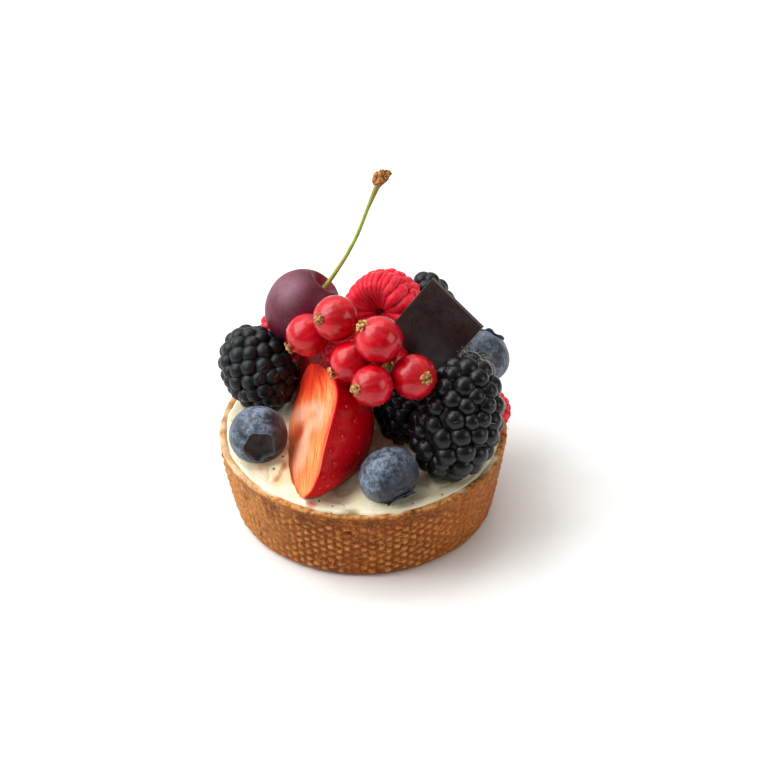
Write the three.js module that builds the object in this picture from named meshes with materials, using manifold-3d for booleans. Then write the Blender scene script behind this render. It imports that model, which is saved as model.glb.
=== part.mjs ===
import * as THREE from 'three';
import { ConvexGeometry } from 'three/addons/geometries/ConvexGeometry.js';
import { mergeVertices } from 'three/addons/utils/BufferGeometryUtils.js';
import Module from 'manifold-3d';

const wasm = await Module();
wasm.setup();

// An individual fruit tart, in millimetres, +Z up.
// The origin is the centre of the crust's underside, which is the face that it rests on.
// The front of the tart, where the strawberry and the blueberries are, faces -Y.

const gap = 0.3; // clear space between pieces that touch
const crust = {
  rim: 40, foot: 36.9, height: 24, wall: 2.6, floor: 3.2, footRound: 4.5, floorRound: 2,
  lip: 0.8, sides: 48,
};
const cream = { level: 22.3, mound: 21.5, moundRadius: 26, moundAt: [1, 9], rings: 7, cutterGap: 0.45 };
const plaque = { side: 19, thickness: 1.1, edge: 0.15 };
const stem = { radius: 0.5, tipRadius: 0.85, steps: 14, sides: 8, knobLength: 4.2, knobRadius: 1.9 };

const up = new THREE.Vector3(0, 0, 1);
const golden = Math.PI * (3 - Math.sqrt(5));
const tart = new THREE.Group();

const finishes = {
  crust: { color: 0xb06a33, roughness: 0.7 },
  cream: { color: 0xf6eed9, roughness: 0.55 },
  darkBerry: { color: 0x17151b, roughness: 0.3 },
  blueberry: { color: 0x525b74, roughness: 0.65 },
  raspberry: { color: 0xc01f36, roughness: 0.45 },
  currant: { color: 0xb5121f, roughness: 0.2 },
  strawberry: { color: 0xb8151b, roughness: 0.35 },
  cherry: { color: 0x451420, roughness: 0.25 },
  stem: { color: 0x8a8f3c, roughness: 0.6 },
  stemKnob: { color: 0x7a4a22, roughness: 0.8 },
  chocolate: { color: 0x2a2022, roughness: 0.4 },
};

// Adds a piece to the tart with its own +Z turned to axis.
function addPiece(name, finish, geometry, { at = [0, 0, 0], axis = [0, 0, 1] } = {}) {
  const material = new THREE.MeshStandardMaterial({ ...finishes[finish], metalness: 0 });
  const piece = new THREE.Mesh(geometry, material);
  piece.name = name;
  piece.position.set(...at);
  piece.quaternion.setFromUnitVectors(up, new THREE.Vector3(...axis).normalize());
  tart.add(piece);
  return piece;
}

// A turned shape about +Z from a profile of [radius, height] that starts and ends on the axis.
function turned(profile, sides) {
  const points = profile.map(([r, z]) => new THREE.Vector2(Math.max(r, 0), z));
  return new THREE.LatheGeometry(points, sides).rotateX(Math.PI / 2);
}

// The points of an arc in a profile: centre, radius, and angles in degrees from the radial direction.
function arc([cr, cz], radius, from, to, steps) {
  return Array.from({ length: steps + 1 }, (_, i) => {
    const angle = THREE.MathUtils.degToRad(from + ((to - from) * i) / steps);
    return [cr + radius * Math.cos(angle), cz + radius * Math.sin(angle)];
  });
}

function toSolid(geometry) {
  const bare = geometry.clone();
  bare.deleteAttribute('normal');
  bare.deleteAttribute('uv');
  const merged = mergeVertices(bare, 1e-4);
  const triangles = [];
  for (let i = 0; i < merged.index.count; i += 3) {
    const [a, b, c] = [0, 1, 2].map((k) => merged.index.getX(i + k));
    if (a !== b && b !== c && c !== a) triangles.push(a, b, c);
  }
  return new wasm.Manifold(new wasm.Mesh({
    numProp: 3,
    vertProperties: new Float32Array(merged.attributes.position.array),
    triVerts: new Uint32Array(triangles),
  }));
}

function fromSolid(solid) {
  const mesh = solid.getMesh();
  const geometry = new THREE.BufferGeometry();
  geometry.setAttribute('position', new THREE.BufferAttribute(Float32Array.from(mesh.vertProperties), 3));
  geometry.setIndex(Array.from(mesh.triVerts));
  return geometry;
}

// The surface of an egg in the direction of a unit vector. taper > 0 makes its +Z end the wide one.
function onEgg(direction, { length, width, taper = 0 }, grow = 0) {
  const swell = 1 + taper * direction.z;
  const radius = width / 2 + grow;
  return new THREE.Vector3(
    direction.x * radius * swell,
    direction.y * radius * swell,
    direction.z * (length / 2 + grow),
  );
}

// ---- crust: a straight-sided cup with a rounded foot and a thin lip ----
const flare = (crust.rim - crust.foot) / crust.height;
const outerWall = (z) => crust.foot + flare * z;
const innerWall = (z) => outerWall(z) - crust.wall;

function crustShell() {
  const { height, floor, footRound, floorRound, lip, sides } = crust;
  return turned([
    [0, 0],
    ...arc([outerWall(footRound) - footRound, footRound], footRound, -90, 0, 4),
    [outerWall(height - lip), height - lip],
    [outerWall(height) - lip / 2, height],
    [innerWall(height) + lip / 2, height],
    [innerWall(height - lip), height - lip],
    [innerWall(floor + floorRound), floor + floorRound],
    [innerWall(floor + floorRound) - floorRound, floor],
    [0, floor],
  ], sides);
}

// ---- cream: fills the crust and rises to a soft mound that the fruit is pressed into ----
function creamHeight(x, y) {
  const reach = Math.hypot(x - cream.moundAt[0], y - cream.moundAt[1]) / cream.moundRadius;
  const rise = cream.mound * (1 - THREE.MathUtils.smoothstep(reach, 0.1, 1));
  const wave = 0.35 * Math.sin(x * 0.31 + 1.2) + 0.3 * Math.cos(y * 0.27 + x * 0.11);
  return cream.level + rise + wave * Math.min(1, (crust.rim - Math.hypot(x, y)) / 10);
}

function creamFilling(cutters) {
  const { floor, floorRound, sides } = crust;
  const edge = innerWall(cream.level) - gap;
  const heel = innerWall(floor + floorRound) - gap;
  const clear = 2 * gap;
  const outline = [
    [0, floor + gap],
    [heel - floorRound - gap, floor + gap],
    [heel, floor + floorRound + clear],
    [edge, cream.level],
  ];
  for (let ring = cream.rings - 1; ring >= 0; ring -= 1) {
    outline.push([(edge * ring) / cream.rings, cream.level]);
  }
  const filling = turned(outline, sides);
  const place = filling.attributes.position;
  for (let i = 0; i < place.count; i += 1) {
    const [x, y, z] = [place.getX(i), place.getY(i), place.getZ(i)];
    const onTop = z > cream.level - 0.01 && Math.hypot(x, y) < edge - 0.01;
    if (onTop) place.setZ(i, creamHeight(x, y));
  }
  let solid = toSolid(filling);
  for (const cutter of cutters) solid = solid.subtract(cutter);
  const largest = solid.decompose().sort((a, b) => b.volume() - a.volume())[0];
  return fromSolid(largest);
}

// ---- berries made of drupelets: each has a raised middle and falls to a low seam round it ----
function drupeletBerry(size) {
  const { drupelets, seam } = size;
  const centres = Array.from({ length: drupelets }, (_, i) => {
    const z = 1 - (2 * (i + 0.5)) / drupelets;
    const angle = golden * i + 0.16 * Math.sin(5.3 * i + drupelets);
    const flat = Math.sqrt(1 - z * z);
    return new THREE.Vector3(flat * Math.cos(angle), flat * Math.sin(angle), z);
  });
  const hull = new ConvexGeometry(centres).attributes.position;
  const corner = (i) => new THREE.Vector3().fromBufferAttribute(hull, i);
  const lowered = (direction, depth) => {
    const point = onEgg(direction.clone().normalize(), size);
    return point.multiplyScalar(1 - depth / point.length());
  };
  const vertices = [];
  for (let i = 0; i < hull.count; i += 3) {
    const ring = [corner(i), corner(i + 1), corner(i + 2)];
    const middle = lowered(ring[0].clone().add(ring[1]).add(ring[2]), seam);
    ring.forEach((from, k) => {
      const to = ring[(k + 1) % 3];
      const half = lowered(from.clone().add(to), seam * 0.75);
      vertices.push(lowered(from, 0), half, middle, half, lowered(to, 0), middle);
    });
  }
  return new THREE.BufferGeometry().setFromPoints(vertices);
}

// A raspberry's open end: a cone is cut out of the +Z end, where the berry came off its core.
function openRaspberry(size) {
  const { length, openingRadius, openingDepth } = size;
  const cone = new THREE.ConeGeometry(openingRadius, openingDepth * 2, 12).rotateX(-Math.PI / 2);
  cone.translate(0, 0, length / 2);
  return fromSolid(toSolid(drupeletBerry(size)).subtract(toSolid(cone)));
}

// ---- blueberry: a slightly flat ball with a five-pointed crown round a shallow dip ----
function blueberry({ width, height, crown, dip, crownRise, pointHeight }) {
  const sides = 15;
  const startAngle = THREE.MathUtils.radToDeg(Math.acos(crown / (width / 2)));
  const flat = height / width;
  const body = arc([0, 0], width / 2, -90, startAngle, 6).map(([r, z]) => [r, z * flat]);
  const lipHeight = body[body.length - 1][1] + crownRise;
  const floorHeight = lipHeight - dip;
  const berry = turned([
    ...body,
    [crown - 0.15, lipHeight],
    [crown * 0.72, floorHeight],
    [0, floorHeight],
  ], sides);
  const place = berry.attributes.position;
  for (let i = 0; i < place.count; i += 1) {
    if (Math.abs(place.getZ(i) - lipHeight) > 1e-3) continue;
    const angle = Math.atan2(place.getY(i), place.getX(i));
    place.setZ(i, lipHeight + pointHeight * Math.cos(5 * angle));
  }
  return berry;
}

// ---- redcurrant: a ball that ends in the small dry tuft of its flower ----
function currant(width) {
  const radius = width / 2;
  const tuft = radius * 0.2;
  const body = arc([0, 0], radius, -90, 74, 6);
  return turned([
    ...body,
    [tuft, radius * 0.98],
    [tuft * 1.7, radius * 1.2],
    [0, radius * 1.12],
  ], 11);
}

// ---- cherry: a full ball, slightly squat, with the hollow that its stem stands in ----
const cherrySize = { width: 20.2, height: 19.6, hollowRadius: 4.4, hollowDepth: 2.4 };

function cherryBody() {
  const { width, height, hollowRadius, hollowDepth } = cherrySize;
  const flat = height / width;
  const side = arc([0, 0], width / 2, -90, 58, 8).map(([r, z]) => [r, z * flat]);
  const shoulder = (height / 2) * 0.93;
  return turned([...side, [hollowRadius, shoulder], [hollowRadius * 0.45, shoulder - hollowDepth * 0.8],
    [0, shoulder - hollowDepth]], 18);
}

// ---- strawberry half: a strawberry's outline turned about its length and cut through the middle ----
// Its own +Z runs from tip to hull end, its cut face looks along -X, and its skin side bulges to +X.
const strawberrySize = { length: 41.5, width: 29, thickness: 16.5 };

function strawberryHalf(grow = 0) {
  const { length, width, thickness } = strawberrySize;
  // share of the length from the tip, share of the full half-width
  const outline = [[0, 0], [0.04, 0.22], [0.14, 0.5], [0.34, 0.82], [0.58, 0.99], [0.74, 1], [0.87, 0.8],
    [0.96, 0.45], [1, 0]];
  const curve = new THREE.SplineCurve(outline.map(([t, r]) => new THREE.Vector2(r, t)));
  const profile = curve.getPoints(12).map((p) => [
    p.x * (width / 2 + grow),
    p.y * (length + 2 * grow) - grow,
  ]);
  profile[0][0] = 0;
  profile[profile.length - 1][0] = 0;
  const whole = turned(profile, 20).scale((thickness + grow) / (width / 2 + grow), 1, 1);
  const reach = 4 * length;
  const keep = new THREE.BoxGeometry(reach, reach, reach).translate(reach / 2 - grow, 0, 0);
  return toSolid(whole).intersect(toSolid(keep));
}

// The turn that puts a piece's own +Z along its length and its own -X along the way its face looks.
function facing(length, face) {
  const z = new THREE.Vector3(...length).normalize();
  const x = new THREE.Vector3(...face).negate();
  x.addScaledVector(z, -x.dot(z)).normalize();
  return new THREE.Matrix4().makeBasis(x, new THREE.Vector3().crossVectors(z, x), z);
}

// ---- where the fruit lies: centre, the axis that its own +Z is turned to, and its size ----
const darkBerries = {
  dark_berry_left: {
    at: [-29.2, 10.8, 36.1], axis: [0.48, -0.56, -0.68], length: 26.2, width: 21.2, drupelets: 42,
  },
  dark_berry_right: {
    at: [25.5, -16.1, 39.2], axis: [0.25, 0.31, 0.92], length: 36.2, width: 24, taper: -0.12, drupelets: 58,
  },
  dark_berry_centre: {
    at: [10.8, -1.2, 32], axis: [-0.13, -0.62, 0.77], length: 21, width: 17.2, taper: -0.12, drupelets: 30,
  },
  dark_berry_back: {
    at: [19.2, 28.4, 39.4], axis: [-0.1, 0.02, 1], length: 30, width: 17, taper: -0.1, drupelets: 38,
  },
};
const raspberries = {
  raspberry_top: {
    at: [6.6, 17.8, 55.6], axis: [-0.5, -0.55, 0.1], length: 22, width: 19.4, taper: 0.06, drupelets: 46,
    openingRadius: 4.1, openingDepth: 9,
  },
  raspberry_left: {
    at: [-22.3, 28, 34.6], axis: [0.1, -0.5, 0.8], length: 17, width: 15.4, drupelets: 32,
    openingRadius: 3.2, openingDepth: 5,
  },
  raspberry_right: {
    at: [31.4, 0.6, 29.9], axis: [-0.93, 0.3, 0.1], length: 17.6, width: 13.6, taper: 0.08, drupelets: 32,
    openingRadius: 3, openingDepth: 5,
  },
  raspberry_back: {
    at: [-7.9, 29.2, 31.4], axis: [0.1, -0.6, 0.6], length: 14.2, width: 13.8, drupelets: 26,
    openingRadius: 3, openingDepth: 5,
  },
  raspberry_middle: {
    at: [-2.4, 6, 47.2], axis: [0.2, 0.7, 0.3], length: 13.2, width: 12.8, drupelets: 24,
    openingRadius: 2.8, openingDepth: 4,
  },
};
const blueberries = {
  blueberry_left: { at: [-28.7, -10, 29.1], axis: [0.09, -0.973, 0.2], width: 16.2, height: 14.6 },
  blueberry_front: { at: [6.7, -27.9, 29.3], axis: [0.48, -0.81, -0.33], width: 16.6, height: 14.8 },
  blueberry_right: { at: [33.7, 20, 32.9], axis: [0.52, 0.31, 0.78], width: 16.2, height: 14.4 },
  blueberry_back: { at: [5.9, 31.8, 28.6], axis: [0.1, 0.8, 0.5], width: 13.4, height: 12.4 },
};
const currants = {
  redcurrant_1: { at: [-7.2, -2.3, 62.2], axis: [-0.69, -0.6, 0.41], width: 11.7 },
  redcurrant_2: { at: [-14.9, 2.2, 53.8], axis: [-0.77, -0.56, -0.31], width: 11.8 },
  redcurrant_3: { at: [4.3, -12.6, 62.6], axis: [-0.69, -0.02, 0.72], width: 12.2 },
  redcurrant_4: { at: [-3.3, -10.3, 53.9], axis: [-0.83, -0.42, -0.36], width: 11.1 },
  redcurrant_5: { at: [2.4, -21.1, 53.9], axis: [-0.72, -0.62, 0.32], width: 11.2 },
  redcurrant_6: { at: [13.5, -16.7, 53.5], axis: [0.5, -0.74, 0.46], width: 12.2 },
  redcurrant_7: { at: [7.7, -0.6, 46.9], axis: [-0.12, -0.9, 0.42], width: 11.1 },
};
const cherryPlace = { at: [-17, 18.4, 51.5], axis: [0.64, 0.145, 0.753] };
const strawberryPlace = {
  tip: [-15.8, -32.5, 25.1], length: [0.07, 0.9, 0.42], face: [-0.892, -0.133, 0.4335],
};
const plaquePlace = { at: [20.3, 0.5, 57.9], face: [-0.45, -0.862, 0.233], edge: [0.705, -0.5, -0.502] };

const darkSeam = 1.5;
const raspberrySeam = 1.1;
const blueberryCrown = { crown: 2.9, dip: 1.3, crownRise: 0.7, pointHeight: 0.45 };
const cutters = [];

// A smooth egg a little larger than the fruit, which leaves its print in the cream.
function addCutter(size, { at, axis }) {
  const egg = new THREE.IcosahedronGeometry(1, 2);
  const place = egg.attributes.position;
  for (let i = 0; i < place.count; i += 1) {
    const direction = new THREE.Vector3().fromBufferAttribute(place, i).normalize();
    const point = onEgg(direction, size, cream.cutterGap);
    place.setXYZ(i, point.x, point.y, point.z);
  }
  const turn = new THREE.Quaternion().setFromUnitVectors(up, new THREE.Vector3(...axis).normalize());
  cutters.push(toSolid(egg.applyQuaternion(turn).translate(...at)));
}

for (const [name, berry] of Object.entries(darkBerries)) {
  addPiece(name, 'darkBerry', drupeletBerry({ ...berry, seam: darkSeam }), berry);
  addCutter(berry, berry);
}
for (const [name, berry] of Object.entries(raspberries)) {
  addPiece(name, 'raspberry', openRaspberry({ ...berry, seam: raspberrySeam }), berry);
  addCutter(berry, berry);
}
for (const [name, berry] of Object.entries(blueberries)) {
  addPiece(name, 'blueberry', blueberry({ ...berry, ...blueberryCrown }), berry);
  addCutter({ length: berry.height + 2 * blueberryCrown.crownRise, width: berry.width }, berry);
}
for (const [name, berry] of Object.entries(currants)) {
  addPiece(name, 'currant', currant(berry.width), berry);
  addCutter({ length: berry.width, width: berry.width }, berry);
}

// ---- cherry and its stem ----
addPiece('cherry', 'cherry', cherryBody(), cherryPlace);
addCutter({ length: cherrySize.height, width: cherrySize.width }, cherryPlace);

const stemRoute = new THREE.CatmullRomCurve3([
  [-12.1, 19.5, 57.4], [-8.7, 20.5, 60.6], [-5.2, 22.3, 64.7], [-2.6, 24.6, 69.6], [-0.3, 27.6, 74.6],
  [1.7, 30.3, 79], [3.1, 32.3, 82],
].map((p) => new THREE.Vector3(...p)));
const stemSection = new THREE.Shape().absarc(0, 0, stem.radius, 0, 2 * Math.PI, false);
addPiece('cherry_stem', 'stem', new THREE.ExtrudeGeometry(stemSection, {
  steps: stem.steps, curveSegments: stem.sides / 2, extrudePath: stemRoute, bevelEnabled: false,
}));

const stemEnd = stemRoute.getPoint(1);
const stemWay = stemRoute.getTangent(1);
const { knobLength, knobRadius, tipRadius } = stem;
addPiece('cherry_stem_knob', 'stemKnob', turned([
  [0, gap],
  [tipRadius, gap],
  [knobRadius * 0.9, knobLength * 0.35],
  [knobRadius, knobLength * 0.7],
  [knobRadius * 0.55, knobLength],
  [0, knobLength * 0.9],
], 9), { at: stemEnd.toArray(), axis: stemWay.toArray() });

// ---- strawberry half, tip down on the cream at the front ----
const strawberryTurn = facing(strawberryPlace.length, strawberryPlace.face);
const strawberryMove = strawberryTurn.clone().setPosition(...strawberryPlace.tip);
const strawberryBody = fromSolid(strawberryHalf());
const strawberry = addPiece('strawberry_half', 'strawberry', strawberryBody, { at: strawberryPlace.tip });
strawberry.quaternion.setFromRotationMatrix(strawberryTurn);
cutters.push(toSolid(fromSolid(strawberryHalf(cream.cutterGap)).applyMatrix4(strawberryMove)));

// ---- chocolate plaque: a thin square that stands on one corner ----
const halfSide = plaque.side / 2 - plaque.edge;
const plaqueOutline = new THREE.Shape();
plaqueOutline.moveTo(-halfSide, -halfSide);
plaqueOutline.lineTo(halfSide, -halfSide);
plaqueOutline.lineTo(halfSide, halfSide);
plaqueOutline.lineTo(-halfSide, halfSide);
plaqueOutline.closePath();
const slab = new THREE.ExtrudeGeometry(plaqueOutline, {
  depth: plaque.thickness - 2 * plaque.edge,
  bevelThickness: plaque.edge,
  bevelSize: plaque.edge,
  bevelSegments: 1,
});
slab.translate(0, 0, plaque.edge - plaque.thickness / 2);
const slabPiece = addPiece('chocolate_plaque', 'chocolate', slab, { at: plaquePlace.at });
const slabFace = new THREE.Vector3(...plaquePlace.face).normalize();
const slabEdge = new THREE.Vector3(...plaquePlace.edge);
slabEdge.addScaledVector(slabFace, -slabEdge.dot(slabFace)).normalize();
const slabSide = new THREE.Vector3().crossVectors(slabFace, slabEdge);
slabPiece.quaternion.setFromRotationMatrix(new THREE.Matrix4().makeBasis(slabEdge, slabSide, slabFace));

addPiece('crust', 'crust', crustShell());
addPiece('cream', 'cream', creamFilling(cutters));

export default tart;
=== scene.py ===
import math
import random

import bmesh
import bpy
import numpy as np
from mathutils import Matrix, Vector, noise
from mathutils.bvhtree import BVHTree


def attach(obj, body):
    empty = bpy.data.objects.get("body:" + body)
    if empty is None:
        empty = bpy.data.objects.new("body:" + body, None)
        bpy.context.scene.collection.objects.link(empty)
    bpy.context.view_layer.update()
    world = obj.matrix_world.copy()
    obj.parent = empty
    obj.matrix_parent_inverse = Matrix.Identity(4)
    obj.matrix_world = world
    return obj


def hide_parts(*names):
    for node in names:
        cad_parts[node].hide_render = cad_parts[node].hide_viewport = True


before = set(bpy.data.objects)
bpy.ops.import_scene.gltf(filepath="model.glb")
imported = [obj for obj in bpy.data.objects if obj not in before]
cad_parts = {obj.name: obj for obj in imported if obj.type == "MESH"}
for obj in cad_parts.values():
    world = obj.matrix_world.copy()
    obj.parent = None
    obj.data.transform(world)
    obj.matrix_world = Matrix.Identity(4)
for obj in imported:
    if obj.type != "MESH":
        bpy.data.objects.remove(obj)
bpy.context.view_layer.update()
mm = 0.001  # pieces are modelled in millimetres and go into place in metres
golden = math.pi * (3 - math.sqrt(5))  # the turn that spreads points evenly
fullTurn = 2 * math.pi


# Modelling helpers

def objectMode():
    if bpy.context.mode != "OBJECT":
        bpy.ops.object.mode_set(mode="OBJECT")


def activate(piece):
    objectMode()
    bpy.ops.object.select_all(action="DESELECT")
    piece.select_set(True)
    bpy.context.view_layer.objects.active = piece


def addPrimitive(operator, name, **settings):
    objectMode()
    bpy.ops.object.select_all(action="DESELECT")
    operator(**settings)
    piece = bpy.context.object
    bpy.ops.object.transform_apply(location=True, rotation=True, scale=True)
    piece.name = name
    return piece


def addBall(name, segments, rings):
    return addPrimitive(bpy.ops.mesh.primitive_uv_sphere_add, name, segments=segments, ring_count=rings, radius=1)


def addLump(name, cuts):
    return addPrimitive(bpy.ops.mesh.primitive_ico_sphere_add, name, subdivisions=cuts, radius=1)


def pick(piece, kind, test=lambda part: True):  # to edit mode, with only the wanted parts selected
    activate(piece)
    bpy.ops.object.mode_set(mode="EDIT")
    bpy.ops.mesh.select_mode(type=kind)
    bpy.ops.mesh.select_all(action="DESELECT")
    shape = bmesh.from_edit_mesh(piece.data)
    for part in {"VERT": shape.verts, "EDGE": shape.edges, "FACE": shape.faces}[kind]:
        if test(part):
            part.select_set(True)
    shape.select_flush_mode()
    bmesh.update_edit_mesh(piece.data)


def scaleFlat(share):  # moves the selected parts towards the piece's own axis
    bpy.ops.transform.resize(value=(share, share, 1), center_override=(0, 0, 0))


def extrude(rise):
    bpy.ops.mesh.extrude_region_move(TRANSFORM_OT_translate={"value": (0, 0, rise)})


def useModifier(piece, kind, **settings):
    activate(piece)
    modifier = piece.modifiers.new(kind.title(), kind)
    for setting, value in settings.items():
        setattr(modifier, setting, value)
    bpy.ops.object.modifier_apply(modifier=modifier.name)


def getPlaces(piece):
    places = np.empty(len(piece.data.vertices) * 3)
    piece.data.vertices.foreach_get("co", places)
    return places.reshape(-1, 3)


def sculpt(piece, rule):  # moves all vertices by a rule that takes and gives their places
    objectMode()
    piece.data.vertices.foreach_set("co", rule(getPlaces(piece)).ravel())
    piece.data.update()


def ripple(places, size, seed):  # smooth noise from -1 to 1 with waves of about that size
    shift = Vector((seed * 17.3, seed * 5.1, seed * 9.7))
    return np.array([noise.noise(Vector(place) / size + shift) for place in places])


def ease(value, low, high):  # from 0 at the low value to 1 at the high one
    share = np.clip((value - low) / (high - low), 0, 1)
    return share * share * (3 - 2 * share)


def asPlaces(x, y, z):  # any of them may be one number for all
    return np.stack(np.broadcast_arrays(x, y, z), 1)


def addMask(piece, name, values):  # a number on each vertex, or one for all, for the material to read
    layer = piece.data.attributes.new(name, "FLOAT", "POINT")
    layer.data.foreach_set("value", np.full(len(piece.data.vertices), values, dtype=np.float32))


def copyPiece(piece, matrix=Matrix.Identity(4)):
    other = piece.copy()
    other.data = piece.data.copy()
    other.data.transform(matrix)
    bpy.context.collection.objects.link(other)
    return other


def joinPieces(name, pieces):
    activate(pieces[0])
    for piece in pieces[1:]:
        piece.select_set(True)
    bpy.ops.object.join()
    pieces[0].name = name
    return pieces[0]


def removePieces(*pieces):
    for piece in pieces:
        bpy.data.objects.remove(piece)


def placeAt(at, axis=(0, 0, 1), spin=0.0):  # turns a piece's own +Z to the axis, after a spin about it
    turn = Vector((0, 0, 1)).rotation_difference(Vector(axis)).to_matrix().to_4x4()
    return Matrix.Translation(Vector(at)) @ (turn @ Matrix.Rotation(spin, 4, "Z"))


def placeBy(at, right, forward, up):  # turns a piece's own X, Y and Z to these directions
    return Matrix.Translation(Vector(at)) @ Matrix((right, forward, up)).transposed().to_4x4()


def jitter(draw, reach):
    return Vector([draw.uniform(-reach, reach) for _ in range(3)])


def finish(piece, material, slot, *nodes):
    piece.data.transform(Matrix.Scale(mm, 4))
    piece.data.materials.clear()
    piece.data.materials.append(material)
    activate(piece)
    bpy.ops.object.shade_smooth()
    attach(piece, "root")
    if nodes:
        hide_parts(*nodes)
        pressedIn.append(piece)


def tube(name, points, radii, roundness=1):  # a round stalk along a smooth route
    curve = bpy.data.curves.new(name, "CURVE")
    curve.dimensions = "3D"
    curve.bevel_depth = 1
    curve.bevel_resolution = roundness
    curve.use_fill_caps = True
    curve.resolution_u = 6
    spline = curve.splines.new("BEZIER")
    spline.bezier_points.add(len(points) - 1)
    for knot, point, radius in zip(spline.bezier_points, points, radii):
        knot.co = point
        knot.radius = radius
        knot.handle_left_type = knot.handle_right_type = "AUTO"
    stalk = bpy.data.objects.new(name, curve)
    bpy.context.collection.objects.link(stalk)
    activate(stalk)
    bpy.ops.object.convert(target="MESH")
    return bpy.context.object


# Material helpers, which add to the node tree that was begun last

current = {}


def tint(code):  # a colour as painters write it, such as c08040
    parts = [int(code[i:i + 2], 16) / 255 for i in (0, 2, 4)]
    return tuple(p / 12.92 if p <= 0.04045 else ((p + 0.055) / 1.055) ** 2.4 for p in parts) + (1.0,)


def addNode(kind, values, **settings):
    made = current["tree"].nodes.new("ShaderNode" + kind)
    for setting, value in settings.items():
        setattr(made, setting, value)
    for socket, value in values.items():
        if isinstance(value, bpy.types.NodeSocket):
            current["tree"].links.new(value, made.inputs[socket])
        else:
            made.inputs[socket].default_value = tint(value) if isinstance(value, str) else value
    return made


def compute(operation, first, second=0.0):
    return addNode("Math", {0: first, 1: second}, operation=operation).outputs[0]


def times(first, second):
    return compute("MULTIPLY", first, second)


def between(value, low, high, start=0.0, end=1.0):
    values = {"Value": value, "From Min": low, "From Max": high, "To Min": start, "To Max": end}
    return addNode("MapRange", values, interpolation_type="SMOOTHSTEP").outputs["Result"]


def blend(mask, first, second):  # from the first colour to the second
    return addNode("Mix", {0: mask, 6: first, 7: second}, data_type="RGBA").outputs[2]


def paint(colour, *coats):  # each coat is a mask and the colour that it lays over the ones before
    for mask, coat in coats:
        colour = blend(mask, colour, coat)
    return colour


def vector(operation, values, result=0):
    return addNode("VectorMath", values, operation=operation).outputs[result]


def millimetres():
    return vector("SCALE", {0: addNode("TexCoord", {}).outputs["Object"], "Scale": 1000.0})


def along(axis):
    return addNode("SeparateXYZ", {0: millimetres()}).outputs[axis]


def away(spot):  # the distance from a spot
    return vector("DISTANCE", {0: millimetres(), 1: spot}, "Value")


def readMask(name):
    return addNode("Attribute", {}, attribute_name=name).outputs["Fac"]


def cloud(place, detail, **values):
    return addNode("TexNoise", {"Vector": place, "Scale": 1.0, "Detail": detail, **values}).outputs["Fac"]


def makeGroup(name, inputs, build):  # a shared pattern, with one mask as its result
    group = current["tree"] = bpy.data.node_groups.new(name, "ShaderNodeTree")
    for title in inputs:
        group.interface.new_socket(title, in_out="INPUT", socket_type="NodeSocketFloat")
    group.interface.new_socket("Mask", in_out="OUTPUT", socket_type="NodeSocketFloat")
    given = group.nodes.new("NodeGroupInput").outputs
    result = group.nodes.new("NodeGroupOutput").inputs["Mask"]
    group.links.new(build(given, vector("DIVIDE", {0: millimetres(), 1: given["Size"]})), result)
    return group


def softPatches(given, place):
    moved = vector("ADD", {0: place, 1: given["Shift"]})
    return between(cloud(moved, given["Detail"], Roughness=0.6), given["Low"], given["High"])


def roundSpots(given, place):
    cells = addNode("TexVoronoi", {"Vector": place, "Scale": 1.0}).outputs["Distance"]
    return between(cells, given["Radius"], compute("ADD", given["Radius"], given["Soft"]), 1.0, 0.0)


mottleGroup = makeGroup("mottle", ["Size", "Low", "High", "Shift", "Detail"], softPatches)
speckleGroup = makeGroup("speckle", ["Size", "Radius", "Soft"], roundSpots)


def mottle(size, low=0.4, high=0.6, shift=0.0, detail=3.0):
    values = {"Size": size, "Low": low, "High": high, "Shift": shift, "Detail": detail}
    return addNode("Group", values, node_tree=mottleGroup).outputs["Mask"]


def speckle(size, radius, soft):
    values = {"Size": size, "Radius": radius, "Soft": soft}
    return addNode("Group", values, node_tree=speckleGroup).outputs["Mask"]


def newMaterial(name, constants):
    material = bpy.data.materials.new(name)
    material.use_nodes = True
    current["tree"] = material.node_tree
    for socket, value in constants.items():
        current["tree"].nodes["Principled BSDF"].inputs[socket].default_value = value
    return material


def lightInside(weight, depth, reach=(1.0, 0.2, 0.1)):  # how light goes into a piece, depth in millimetres
    return {"Subsurface Weight": weight, "Subsurface Scale": depth * mm, "Subsurface Radius": reach}


def wire(socket, value):
    current["tree"].links.new(value, current["tree"].nodes["Principled BSDF"].inputs[socket])


def roughen(size, low, high):
    wire("Roughness", between(mottle(size), 0, 1, low, high))


def noiseHeight(size, detail=4.0):
    return cloud(vector("SCALE", {0: millimetres(), "Scale": 1 / size}), detail)


def bumpUp(height, depth, strength=1.0):  # depth in millimetres
    wire("Normal", addNode("Bump", {"Height": height, "Distance": depth * mm, "Strength": strength}).outputs[0])


def makeTwoTone(name, constants, patches, light, dark, bump=None):  # a finish for the plainer pieces
    material = newMaterial(name, constants)
    wire("Base Color", blend(mottle(*patches), light, dark))
    if bump:
        bumpUp(noiseHeight(bump[0]), bump[1])
    return material


def makeDry(name, light, dark):
    return makeTwoTone(name, {"Roughness": 0.8}, (0.7, 0.38, 0.62), light, dark, (0.2, 0.12))


def makeHairFinish(name, light, dark):
    return makeTwoTone(name, {"Roughness": 0.75}, (0.9, 0.35, 0.65), light, dark)


# Camera, floor and light

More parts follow.
